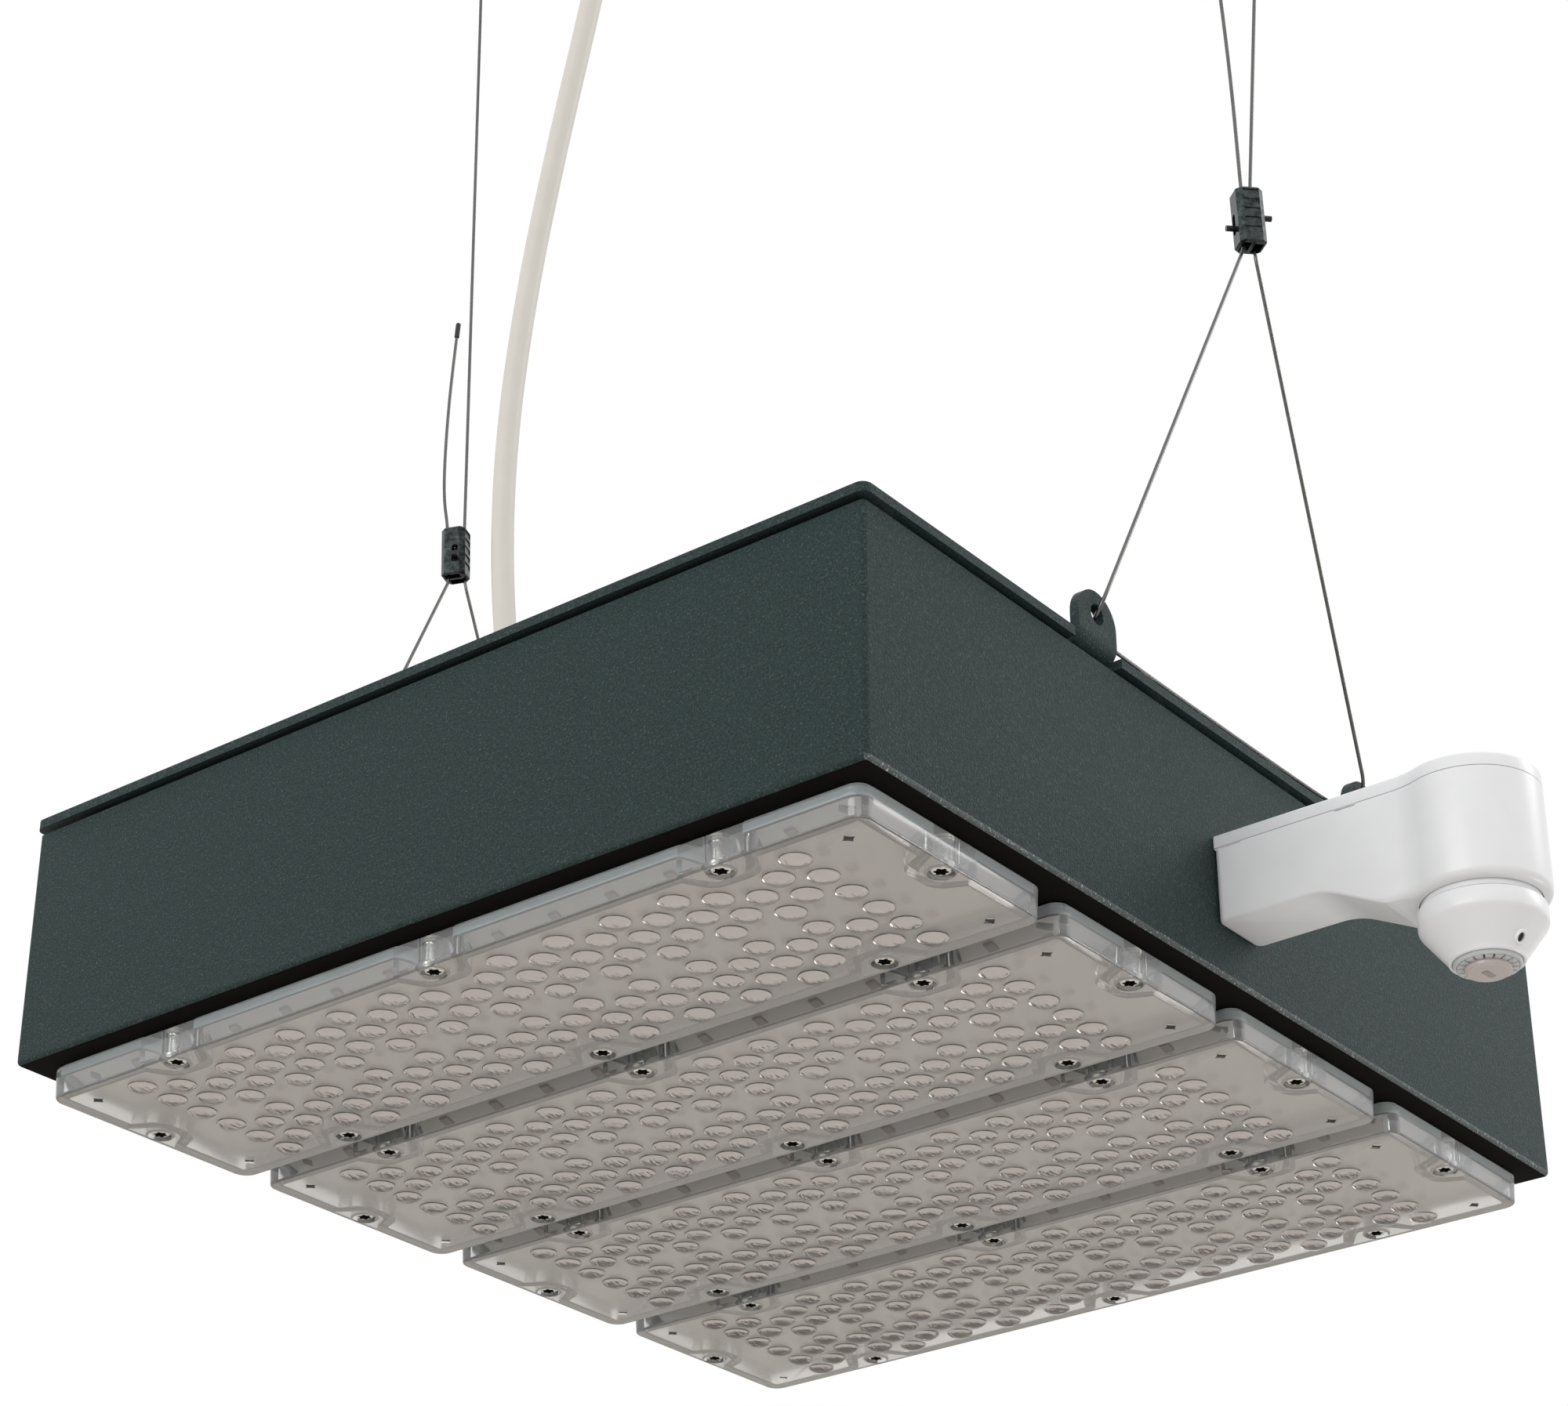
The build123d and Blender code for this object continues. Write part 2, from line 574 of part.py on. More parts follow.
def wire_balls():
    """The soldered ball on each wire's upper end."""
    balls = []
    for side in SIDES:
        middle = FIXTURE * Location(anchor_point(side))
        bore = Pos(0, 0, -BALL_R) * Cylinder(0.7, 2 * BALL_R)
        balls.append(middle * (Sphere(BALL_R) - bore))
    return balls


def outlet_base():
    base = disc(OUTLET_X + FIXTURE_X, 0, -2.5, 0, 29)
    return base - [disc(OUTLET_X + FIXTURE_X + x, 0, -4, 1, 2.25) for x in (-20, 20)]


def outlet_cover():
    """The round cup over the ceiling cable outlet."""
    x = OUTLET_X + FIXTURE_X
    cup = disc(x, 0, -17, -0.3, 31)
    cup = fillet(cup.faces().sort_by(Axis.Z)[0].edges(), 3)
    cup -= disc(x, 0, -15, 1, 29.3)
    return cup - disc(x, 0, -20, 0, 6.4)


def outlet_bush():
    """The cord grip in the cup's floor."""
    x = OUTLET_X + FIXTURE_X
    bush = disc(x, 0, -27, -17, 7.6) + disc(x, 0, -17, -13, 6.3) + disc(x, 0, -14.9, -13, 7.6)
    bush = chamfer(bush.edges().sort_by(Axis.Z)[0], 2)
    return bush - disc(x, 0, -30, 0, CABLE_D / 2 + 0.1)


# ---- presence-sensor arm ---------------------------------------------------------------------
def sensor_fixing_places():
    """The two screws through the housing's wall: y, z and radius."""
    return [(-11.0, -58.0, 1.9), (2.0, -46.0, 1.9)]


def arm_outline(inset):
    """The arm in plan: a straight neck that swells into a round head."""
    neck = Pos((HOUSING_X / 2 + HEAD_X) / 2, -4.9) * Rectangle(HEAD_X - HOUSING_X / 2, 22 - 2 * inset)
    shape = neck + Pos(HEAD_X, HEAD_Y) * Circle(HEAD_R - inset)
    corners = shape.vertices().filter_by_position(Axis.X, HEAD_X - HEAD_R - 1, HEAD_X - 2)
    front = corners.sort_by(Axis.Y)[0]
    rear = corners.sort_by(Axis.Y)[-1]
    shape = fillet(front, 22)
    rear = shape.vertices().sort_by_distance(Vector(rear.X, rear.Y, 0))[0]
    return fillet(rear, 11)


def arm_body():
    body = extrude(Pos(0, 0, ARM_BOTTOM) * arm_outline(0), ARM_SEAM - ARM_BOTTOM)
    step = FilletPolyline((150, ARM_NECK), (192, ARM_NECK), (211, ARM_BOTTOM), (216, ARM_BOTTOM), radius=[22, 8])
    below = make_face(Polyline((216, ARM_BOTTOM), (216, -90), (150, -90), (150, ARM_NECK)) + step)
    body -= extrude(Plane.XZ * below, 60, both=True)
    hollow = Pos(0, 0, ARM_NECK + 2.2) * arm_outline(2.2)
    hollow = extrude(hollow, 40) - block(150, HOUSING_X / 2 + 4, -40, 40, -100, 0)
    body -= hollow
    body -= disc(HEAD_X, HEAD_Y, ARM_BOTTOM + 2.2, ARM_NECK + 3, HEAD_R - 2.6)
    body -= disc(HEAD_X, HEAD_Y, ARM_BOTTOM - 1, ARM_NECK, 9)
    wall = HOUSING_X / 2
    for y, z, r in sensor_fixing_places():
        body -= rod((wall - 1, y, z), (wall + 10, y, z), 1.5)
    return body - rod((wall - 1, -5, -50), (wall + 10, -5, -50), 3.5)


def arm_cap():
    """The arm's snap-on top cover."""
    cap = extrude(Pos(0, 0, ARM_SEAM + 0.1) * arm_outline(0), ARM_TOP - ARM_SEAM - 0.1)
    cap = chamfer(cap.faces().sort_by(Axis.Z)[-1].edges(), 0.6)
    lip = extrude(Pos(0, 0, ARM_SEAM - 2.5) * arm_outline(2.5), 3.5) - block(150, HOUSING_X / 2 + 4.4, -40, 40, -100, 0)
    lip -= extrude(Pos(0, 0, ARM_SEAM - 3) * arm_outline(4.2), 6)
    return cap + lip


def sensor_screws():
    """Two screws driven from inside the housing into the arm."""
    wall = HOUSING_X / 2 - SHEET
    made = []
    for y, z, _ in sensor_fixing_places():
        made.append(rod((wall - 2.2, y, z), (wall, y, z), 3.4) + rod((wall, y, z), (wall + 8.5, y, z), 1.5))
    return made


def sensor_head():
    """The turning head: a collar and a cone, with a bayonet neck up into the arm."""
    profile = Polyline((8.7, -72.2), (8.7, -76.7), (17.2, -76.7), (17.8, -77.3), (17.8, -82.2),
                       (17.4, -83.2), (10.6, -91.8), (10.2, -92.4), (9.6, -92.4), (8.6, -90.6), (15, -82),
                       (15, -78.6), (7.0, -78.6), (7.0, -70.6), (11, -70.6), (11, -72.2), (8.7, -72.2))
    head = revolve(Plane.XZ * make_face(profile), Axis.Z, 360)
    eye = Pos(13.0 * math.cos(math.radians(-16)), 13.0 * math.sin(math.radians(-16)), -89.0)
    head -= eye * Rot(0, 0, -16) * Rot(0, 52, 0) * Cylinder(1.35, 12)
    return Pos(HEAD_X, HEAD_Y, 0) * head


def sensor_collar_ring():
    """The fixed ring under the arm that the head turns in."""
    ring = disc(HEAD_X, HEAD_Y, -76.3, ARM_BOTTOM, 16.6) - disc(HEAD_X, HEAD_Y, -80, -70, 9.0)
    return ring


def sensor_lens():
    """The faceted Fresnel lens in the nose of the cone."""
    profile = Polyline((0, -95.2), (6.2, -95.2), (6.9, -94.4), (9.0, -92.9), (9.6, -92.4), (8.6, -90.6),
                       (0, -90.6), (0, -95.2))
    lens = revolve(Plane.XZ * make_face(profile), Axis.Z, 360)
    return Pos(HEAD_X, HEAD_Y, 0) * lens


def sensor_board():
    """The detector's circuit board with its pyroelectric can, inside the turning head."""
    board = disc(HEAD_X, HEAD_Y, -82.0, -80.6, 15)
    can = disc(HEAD_X, HEAD_Y, -86.2, -82.0, 4.6)
    return board + can


# ---- write the nodes -------------------------------------------------------------------------
def fixture_nodes():
    nodes = {
        "housing_shell": housing_shell(),
        "lid_plate": lid_plate(),
        "lid_gasket": lid_gasket(),
        "lid_screws": lid_screws(),
        "heat_spreader": heat_spreader(),
        "leds": leds(),
        "cover_gaskets": cover_gaskets(),
        "module_screws": module_screws(),
        "led_driver_front": led_driver(-DRIVER_Y),
        "led_driver_rear": led_driver(DRIVER_Y),
        "driver_screws": driver_screws(),
        "terminal_block": terminal_block(),
        "internal_wires": internal_wires(),
        "mains_cable": mains_cable(),
        "mains_cable_inner": mains_cable_inner(),
        "gland_body": gland_body(),
        "gland_nut": gland_nut(),
        "gland_locknut": gland_locknut(),
        "gland_seal": gland_seal(),
        "sensor_arm_body": arm_body(),
        "sensor_arm_cap": arm_cap(),
        "sensor_screws": sensor_screws(),
        "sensor_collar_ring": sensor_collar_ring(),
        "sensor_head": sensor_head(),
        "sensor_lens": sensor_lens(),
        "sensor_board": sensor_board(),
        "wire_tips": wire_tips(),
    }
    cover, board = lens_cover(), led_board()
    for number, y in enumerate(MODULES, 1):
        nodes[f"lens_cover_{number}"] = Pos(0, y, 0) * cover
        nodes[f"led_board_{number}"] = Pos(0, y, 0) * board
    for side in SIDES:
        nodes[f"grip_body_{side}"] = grip_body(side)
        nodes[f"wire_upper_{side}"] = wire_upper(side)
        nodes[f"wire_loop_{side}"] = wire_loop(side)
        nodes[f"wire_tail_{side}"] = wire_tail_tube(side)
        for end, word in ((-1, "front"), (1, "rear")):
            nodes[f"release_wedge_{side}_{word}"] = release_wedge(side, end)
            nodes[f"release_spring_{side}_{word}"] = release_spring(side, end)
    return nodes


def ceiling_nodes():
    return {
        "anchor_bases": anchor_bases(),
        "anchor_caps": anchor_caps(),
        "wire_balls": wire_balls(),
        "outlet_base": outlet_base(),
        "outlet_cover": outlet_cover(),
        "outlet_bush": outlet_bush(),
    }


def write(nodes, place):
    for name, shape in nodes.items():
        pieces = shape if isinstance(shape, list) else [shape]
        placed = [place * piece for piece in pieces]
        whole = placed[0] if len(placed) == 1 else Compound(children=placed)
        export_step(whole, f"parts/{name}.step")


os.makedirs("parts", exist_ok=True)
write(fixture_nodes(), FIXTURE)
write(ceiling_nodes(), HERE)
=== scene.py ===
"""Looks for the suspended LED grow light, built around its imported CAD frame."""
import math

import bmesh
import bpy
from mathutils import Matrix, Vector


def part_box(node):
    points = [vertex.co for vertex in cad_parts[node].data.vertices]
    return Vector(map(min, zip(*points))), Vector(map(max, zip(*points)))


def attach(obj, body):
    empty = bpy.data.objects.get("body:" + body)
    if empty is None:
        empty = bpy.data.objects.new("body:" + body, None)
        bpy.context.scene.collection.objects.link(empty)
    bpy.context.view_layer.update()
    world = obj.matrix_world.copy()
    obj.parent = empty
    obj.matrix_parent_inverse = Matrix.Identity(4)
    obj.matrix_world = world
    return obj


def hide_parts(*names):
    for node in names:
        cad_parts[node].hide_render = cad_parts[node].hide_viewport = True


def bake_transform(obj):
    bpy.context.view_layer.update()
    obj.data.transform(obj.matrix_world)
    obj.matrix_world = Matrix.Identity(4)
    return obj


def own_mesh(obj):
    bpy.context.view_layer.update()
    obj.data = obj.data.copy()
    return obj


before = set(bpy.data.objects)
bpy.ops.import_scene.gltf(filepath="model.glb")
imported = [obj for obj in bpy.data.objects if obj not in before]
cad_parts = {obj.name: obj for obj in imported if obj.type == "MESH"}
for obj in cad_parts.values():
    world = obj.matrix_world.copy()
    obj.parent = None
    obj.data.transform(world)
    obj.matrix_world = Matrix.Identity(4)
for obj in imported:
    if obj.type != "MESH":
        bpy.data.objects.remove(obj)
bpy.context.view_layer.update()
MM = 0.001
LID_ABOVE_SHELL = 5.0

# The fixture's own origin: the middle of the lid's top face. Sizes are fixture millimetres from it, unless a
# comment says metres.
shell_low, shell_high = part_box("housing_shell")
middle_of_shell = (shell_low + shell_high) / 2
ORIGIN = Vector((middle_of_shell.x, middle_of_shell.y, shell_high.z + LID_ABOVE_SHELL * MM))


def at(x, y, z):
    """A point in the row frame, in metres, from fixture millimetres."""
    return ORIGIN + Vector((x, y, z)) * MM


# ---- camera, stage and light -----------------------------------------------------------------------
FOCAL_LENGTH = 82.87
CAMERA_PLACE = (629.0, -817.7, -502.1)
CAMERA_TURN = (38.004, -28.855, -0.088)
FLOOR_GREY = (0.53, 0.505, 0.475)
HORIZON_GREY = (0.50, 0.485, 0.465)
# In metres: half the floor's side, and how far it is below the lid.
FLOOR_REACH, FLOOR_DROP = 14.0, 1.3


def look(yaw, pitch, roll):
    """A camera's axes for its yaw, pitch and roll in degrees."""
    a, e, r = (math.radians(v) for v in (yaw, pitch, roll))
    back = Vector((math.sin(a) * math.cos(e), -math.cos(a) * math.cos(e), math.sin(e)))
    right = Vector((0, 0, 1)).cross(back).normalized()
    up = back.cross(right)
    side, top = math.cos(r) * right + math.sin(r) * up, math.cos(r) * up - math.sin(r) * right
    return Matrix((side, top, back)).transposed()


def make_camera():
    """The camera, fitted to the box's edges."""
    data = bpy.data.cameras.new("camera")
    data.lens, data.sensor_width, data.sensor_fit = FOCAL_LENGTH, 36.0, "HORIZONTAL"
    data.clip_start, data.clip_end = 0.05, 50
    cam = bpy.data.objects.new("camera", data)
    bpy.context.collection.objects.link(cam)
    cam.matrix_world = Matrix.Translation(at(*CAMERA_PLACE)) @ look(*CAMERA_TURN).to_4x4()
    bpy.context.scene.camera = cam


def area_light(name, place, target, size, power):
    """A rectangular light that faces its target; the size is in metres and the power in watts."""
    data = bpy.data.lights.new(name, "AREA")
    data.shape, data.size, data.size_y = "RECTANGLE", size[0], size[1]
    data.energy = power
    lamp = bpy.data.objects.new(name, data)
    bpy.context.collection.objects.link(lamp)
    lamp.location = place
    lamp.rotation_mode = "QUATERNION"
    lamp.rotation_quaternion = (Vector(target) - Vector(place)).to_track_quat("-Z", "Y")


def make_world():
    """White overhead, fading at the horizon into about the floor's grey."""
    world = bpy.data.worlds.new("studio")
    bpy.context.scene.world = world
    world.use_nodes = True
    nodes, links = world.node_tree.nodes, world.node_tree.links
    back = nodes["Background"]
    coord = nodes.new("ShaderNodeTexCoord")
    split = nodes.new("ShaderNodeSeparateXYZ")
    ramp = nodes.new("ShaderNodeValToRGB")
    links.new(coord.outputs["Generated"], split.inputs[0])
    links.new(split.outputs["Z"], ramp.inputs[0])
    ramp.color_ramp.elements[0].position = 0.0
    ramp.color_ramp.elements[0].color = (*HORIZON_GREY, 1)
    ramp.color_ramp.elements[1].position = 0.12
    ramp.color_ramp.elements[1].color = (1, 1, 1, 1)
    links.new(ramp.outputs[0], back.inputs["Color"])
    back.inputs["Strength"].default_value = 1.0


def make_stage():
    """A wide pale floor."""
    mesh = bpy.data.meshes.new("floor")
    s, z = FLOOR_REACH, ORIGIN.z - FLOOR_DROP
    mesh.from_pydata([(-s, -s, z), (s, -s, z), (s, s, z), (-s, s, z)], [], [(0, 1, 2, 3)])
    floor = bpy.data.objects.new("floor", mesh)
    bpy.context.collection.objects.link(floor)
    mesh.materials.append(plain("floor_paint", FLOOR_GREY, 0.9))


# ---- materials -------------------------------------------------------------------------------------
def plain(name, colour, roughness, metallic=0.0):
    mat = bpy.data.materials.new(name)
    mat.use_nodes = True
    shader = mat.node_tree.nodes["Principled BSDF"]
    shader.inputs["Base Color"].default_value = (*colour, 1)
    shader.inputs["Roughness"].default_value = roughness
    shader.inputs["Metallic"].default_value = metallic
    return mat


def node(mat, kind, **settings):
    made = mat.node_tree.nodes.new(kind)
    for key, value in settings.items():
        if key in made.inputs:
            made.inputs[key].default_value = value
        else:
            setattr(made, key, value)
    return made


def shader_of(mat):
    return mat.node_tree.nodes["Principled BSDF"]


def object_noise(mat, scale, detail=2.0, rough=0.5, stretch=None):
    """A noise in object coordinates; scale is features per metre."""
    coord = node(mat, "ShaderNodeTexCoord")
    source = coord.outputs["Object"]
    if stretch:
        mapping = node(mat, "ShaderNodeMapping")
        mapping.inputs["Scale"].default_value = stretch
        mat.node_tree.links.new(source, mapping.inputs[0])
        source = mapping.outputs[0]
    noise = node(mat, "ShaderNodeTexNoise")
    noise.inputs["Scale"].default_value = scale
    noise.inputs["Detail"].default_value = detail
    noise.inputs["Roughness"].default_value = rough
    mat.node_tree.links.new(source, noise.inputs["Vector"])
    return noise


def add_bump(mat, height, strength, distance):
    bump = node(mat, "ShaderNodeBump")
    bump.inputs["Strength"].default_value = strength
    bump.inputs["Distance"].default_value = distance
    mat.node_tree.links.new(height, bump.inputs["Height"])
    mat.node_tree.links.new(bump.outputs[0], shader_of(mat).inputs["Normal"])


def vary_colour(mat, factor, low, high, start=0.3, end=0.7):
    ramp = node(mat, "ShaderNodeValToRGB")
    ramp.color_ramp.elements[0].position, ramp.color_ramp.elements[1].position = start, end
    ramp.color_ramp.elements[0].color, ramp.color_ramp.elements[1].color = (*low, 1), (*high, 1)
    mat.node_tree.links.new(factor, ramp.inputs[0])
    mat.node_tree.links.new(ramp.outputs[0], shader_of(mat).inputs["Base Color"])
    return ramp


def vary_roughness(mat, factor, low, high):
    span = node(mat, "ShaderNodeMapRange")
    span.inputs["From Min"].default_value, span.inputs["From Max"].default_value = 0.3, 0.7
    span.inputs["To Min"].default_value, span.inputs["To Max"].default_value = low, high
    mat.node_tree.links.new(factor, span.inputs["Value"])
    mat.node_tree.links.new(span.outputs[0], shader_of(mat).inputs["Roughness"])


def powder_coat(name="powder_coat", shine=0.14, glint=1.0):
    """Anthracite fine-texture powder coat with a metallic fleck."""
    mat = plain(name, (0.02, 0.03, 0.03), 0.42)
    shader_of(mat).inputs["Specular IOR Level"].default_value = shine
    grain = object_noise(mat, 1500, 3, 0.7)
    ramp = vary_colour(mat, grain.outputs["Fac"], (0.0125, 0.0265, 0.0265), (0.030, 0.052, 0.052), 0.36, 0.60)
    # glint scales the flecks' brightness; above 1 it paints a highlight into the coat.
    fleck = ramp.color_ramp.elements.new(0.67)
    fleck.color = (0.095 * glint, 0.115 * glint, 0.115 * glint, 1)
    add_bump(mat, grain.outputs["Fac"], 1.0, 0.0006)
    return mat


def moulded(name, colour, roughness=0.32, bump=0.03):
    """A moulded plastic or rubber with faint clouds of colour and a fine grain."""
    mat = plain(name, colour, roughness)
    cloud = object_noise(mat, 90, 3)
    low = tuple(0.965 * c for c in colour)
    vary_colour(mat, cloud.outputs["Fac"], low, colour)
    grain = object_noise(mat, 4200, 2)
    add_bump(mat, grain.outputs["Fac"], bump, 0.00004)
    return mat


def gripper_metal():
    """Dark nickel-plated zinc with small casting marks."""
    mat = plain("gripper_zinc", (0.05, 0.06, 0.062), 0.26, 0.85)
    grain = object_noise(mat, 420, 4, 0.65)
    vary_colour(mat, grain.outputs["Fac"], (0.022, 0.027, 0.027), (0.10, 0.12, 0.12), 0.38, 0.78)
    vary_roughness(mat, grain.outputs["Fac"], 0.16, 0.36)
    add_bump(mat, grain.outputs["Fac"], 0.15, 0.0002)
    return mat


def metal(name, colour, roughness):
    """A bare metal that is a little duller in places."""
    mat = plain(name, colour, roughness, 1.0)
    grain = object_noise(mat, 700, 3, 0.6)
    vary_roughness(mat, grain.outputs["Fac"], 0.75 * roughness, 1.3 * roughness)
    vary_colour(mat, grain.outputs["Fac"], tuple(0.86 * c for c in colour), colour)
    return mat


def clear_plastic(name, roughness, tint=(0.965, 0.97, 0.965), clearness=1.0):
    """A polycarbonate that lets a share of the light through and scatters the rest."""
    mat = plain(name, tint, roughness)
    shader = shader_of(mat)
    shader.inputs["Transmission Weight"].default_value = clearness
    shader.inputs["IOR"].default_value = 1.58
    return mat


# ---- mesh helpers ----------------------------------------------------------------------------------
def soften(*names, width=0.35, segments=2, angle=40):
    """Rounds the sharp edges of CAD nodes with modifiers, in millimetres."""
    for name in names:
        node_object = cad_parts[name]
        weld = node_object.modifiers.new("weld", "WELD")
        weld.merge_threshold = 0.000004
        mod = node_object.modifiers.new("soften", "BEVEL")
        mod.width, mod.segments, mod.limit_method = width * MM, segments, "ANGLE"
        mod.angle_limit = math.radians(angle)
        mod.harden_normals = False


def new_object(name, mesh):
    made = bpy.data.objects.new(name, mesh)
    bpy.context.collection.objects.link(made)
    return made


def to_world(obj, x=0.0, y=0.0, z=0.0):
    """Turns a piece made in fixture millimetres into row-frame metres, moved by x, y, z millimetres."""
    obj.data.transform(Matrix.Translation(at(x, y, z)) @ Matrix.Scale(MM, 4))


def smooth(obj, angle):
    """Smooth shading, except over edges sharper than the angle."""
    obj.data.shade_smooth()
    obj.data.set_sharp_from_angle(angle=math.radians(angle))


def finish_piece(obj, body, material, replaces=()):
    """Gives a piece its material, or several, hangs it on the body it rides on, and hides the CAD nodes it
    stands for.
    """
    # Clearing the materials also resets the faces' indices, so a piece with several takes its own back.
    indices = [face.material_index for face in obj.data.polygons]
    obj.data.materials.clear()
    for m in (material if isinstance(material, list) else [material]):
        obj.data.materials.append(m)
    if len(obj.data.materials) > 1:
        obj.data.polygons.foreach_set("material_index", indices)
    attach(obj, body)
    if replaces:
        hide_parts(*replaces)


def settle(obj):
    """Applies a piece's modifiers."""
    graph = bpy.context.evaluated_depsgraph_get()
    mesh = bpy.data.meshes.new_from_object(obj.evaluated_get(graph))
    obj.modifiers.clear()
    obj.data = mesh


def combine(obj, other, how):
    """A boolean of two closed meshes; the other one is used up."""
    mod = obj.modifiers.new("combine", "BOOLEAN")
    mod.object, mod.operation, mod.solver = other, how, "MANIFOLD"
    bpy.context.view_layer.update()
    settle(obj)
    bpy.data.objects.remove(other)


def cut(obj, tool, x=0.0, y=0.0):
    """Takes a tool, moved by x and y, out of a piece; the tool is used up."""
    tool.data.transform(Matrix.Translation((x, y, 0)))
    combine(obj, tool, "DIFFERENCE")


def bevel(obj, width, segments=2, angle=30, clamp=True):
    """Rounds a piece's edges that are sharper than the angle."""
    mod = obj.modifiers.new("bevel", "BEVEL")
    mod.width, mod.segments, mod.limit_method = width, segments, "ANGLE"
    mod.angle_limit = math.radians(angle)
    mod.use_clamp_overlap = clamp
    bpy.context.view_layer.update()
    settle(obj)


def arc_corner(a, b, c, radius, steps):
    """Points that round the corner b between a and c."""
    a, b, c = Vector(a), Vector(b), Vector(c)
    u, v = (a - b).normalized(), (c - b).normalized()
    half = u.angle(v) / 2
    reach = radius / math.tan(half)
    centre = b + (u + v).normalized() * radius / math.sin(half)
    start, end = b + u * reach - centre, b + v * reach - centre
    turn = start.angle_signed(end)
    made = []
    for i in range(steps + 1):
        t = -turn * i / steps
        made.append(centre + Vector((start.x * math.cos(t) - start.y * math.sin(t),
                                     start.x * math.sin(t) + start.y * math.cos(t))))
    return made


def rounded(points, radii, steps=6):
    """A closed outline with its corners rounded; radius 0 leaves one sharp."""
    made, n = [], len(points)
    for i, b in enumerate(points):
        if radii[i] > 0:
            made += arc_corner(points[i - 1], b, points[(i + 1) % n], radii[i], steps)
        else:
            made.append(Vector(b))
    return made


def rectangle(x, y, r, steps=6):
    """The outline of an x by y rectangle with corners of radius r."""
    x, y = x / 2, y / 2
    return rounded([(-x, -y), (x, -y), (x, y), (-x, y)], [r] * 4, steps)


def prism(name, outline, z0, z1):
    """A closed solid over a flat outline."""
    n = len(outline)
    area = sum(outline[i - 1].x * outline[i].y - outline[i].x * outline[i - 1].y for i in range(n))
    if area < 0:
        outline = outline[::-1]
    verts = [(p.x, p.y, z) for z in (z0, z1) for p in outline]
    faces = [tuple(range(n - 1, -1, -1)), tuple(range(n, 2 * n))]
    faces += [(i, (i + 1) % n, n + (i + 1) % n, n + i) for i in range(n)]
    mesh = bpy.data.meshes.new(name)
    mesh.from_pydata(verts, [], faces)
    return new_object(name, mesh)


def lathe(name, profile, steps=48):
    """A closed solid of revolution; the profile is (radius, z), and radius 0 is on the axis."""
    verts, rings = [], []
    for r, z in profile:
        if r == 0:
            rings.append([len(verts)])
            verts.append((0, 0, z))
        else:
            rings.append(list(range(len(verts), len(verts) + steps)))
            verts += [(r * math.cos(2 * math.pi * i / steps), r * math.sin(2 * math.pi * i / steps), z)
                      for i in range(steps)]
    faces = []
    pairs = list(zip(rings, rings[1:]))
    if profile[0][0] and profile[-1][0]:
        pairs.append((rings[-1], rings[0]))
    for a, b in pairs:
        for i in range(steps):
            j = (i + 1) % steps
            if len(a) == 1 and len(b) > 1:
                faces.append((a[0], b[j], b[i]))
            elif len(b) == 1 and len(a) > 1:
                faces.append((a[i], a[j], b[0]))
            elif len(a) > 1:
                faces.append((a[i], a[j], b[j], b[i]))
    mesh = bpy.data.meshes.new(name)
    mesh.from_pydata(verts, [], faces)
    made = bmesh.new()
    made.from_mesh(mesh)
    bmesh.ops.recalc_face_normals(made, faces=made.faces)
    made.to_mesh(mesh)
    made.free()
    return new_object(name, mesh)


def copies(name, source, places):
    """One mesh that holds the source mesh at each place (Vector or Matrix)."""
    made = bmesh.new()
    for place in places:
        move = place if isinstance(place, Matrix) else Matrix.Translation(place)
        start = len(made.verts)
        made.from_mesh(source.data)
        made.verts.ensure_lookup_table()
        bmesh.ops.transform(made, matrix=move, verts=made.verts[start:])
    mesh = bpy.data.meshes.new(name)
    made.to_mesh(mesh)
    made.free()
    for m in source.data.materials:
        mesh.materials.append(m)
    return new_object(name, mesh)


# ---- lens modules ----------------------------------------------------------------------------------
PITCH = 88.5
MODULES = [-1.5 * PITCH, -0.5 * PITCH, 0.5 * PITCH, 1.5 * PITCH]
# Heights: a cover's top edge, the bottom of the groove in that edge, its face, and the seats of its screws.
RIM_TOP, RIM_LOW, FACE = -81.8, -84.6, -91.1
SEAT = FACE + 2.5
SKIRT = 1.4
# Length, width and corner radius of a cover, at its top edge and at its face.
COVER_RIM = (301, 81.8, 5.5)
COVER_FACE = (299.8, 80.6, 4.9)
DOME_PITCH, DOME_ROW = 10.07, 12.0
DIAMONDS = [(sx * 138.7, sy * 31.0) for sx in (-1, 1) for sy in (-1, 1)]
SIDE_SCREWS = [(x, sy * 35.4) for sy in (-1, 1) for x in (-100.7, 0, 100.7)]
SCREWS = SIDE_SCREWS + [(-145.2, 0), (145.2, 0)]


def lens_places():
    """The middles of one module's domes."""
    places = []
    for column in range(-12, 13):
        rows = (0.5, 1.5, 2.5) if column % 2 == 0 else (1, 2)
        if column in (-10, 0, 10):
            rows = (0.5, 1.5)
        places += [(column * DOME_PITCH, s * row * DOME_ROW) for row in rows for s in (-1, 1)]
    return places


def pocket_outline(x, y, grow):
    """The bell-shaped recess from the module's edge in round one screw boss."""
    end = y == 0
    reach = 150.5 if end else 40.9
    wide, narrow, deep = (10.0, 4.2, 10.0) if end else (11.8, 4.6, 10.0)
    wide, narrow, deep = wide + grow, narrow + grow, deep + grow
    flat = rounded([(-wide - 9, 4), (-wide - 9, 0), (-wide, 0), (-narrow, -deep), (narrow, -deep), (wide, 0),
                    (wide + 9, 0), (wide + 9, 4)],
                   [0, 0, max(7.0 - grow, 2.0), 3.4 + grow, 3.4 + grow, max(7.0 - grow, 2.0), 0, 0])
    turn = {(-1, True): 90, (1, True): -90, (-1, False): 180, (1, False): 0}
    side = (1 if x > 0 else -1) if end else (1 if y > 0 else -1)
    spin = Matrix.Rotation(math.radians(turn[(side, end)]), 2)
    spot = Vector((side * reach, 0)) if end else Vector((x, side * reach))
    return [spin @ p + spot for p in flat]


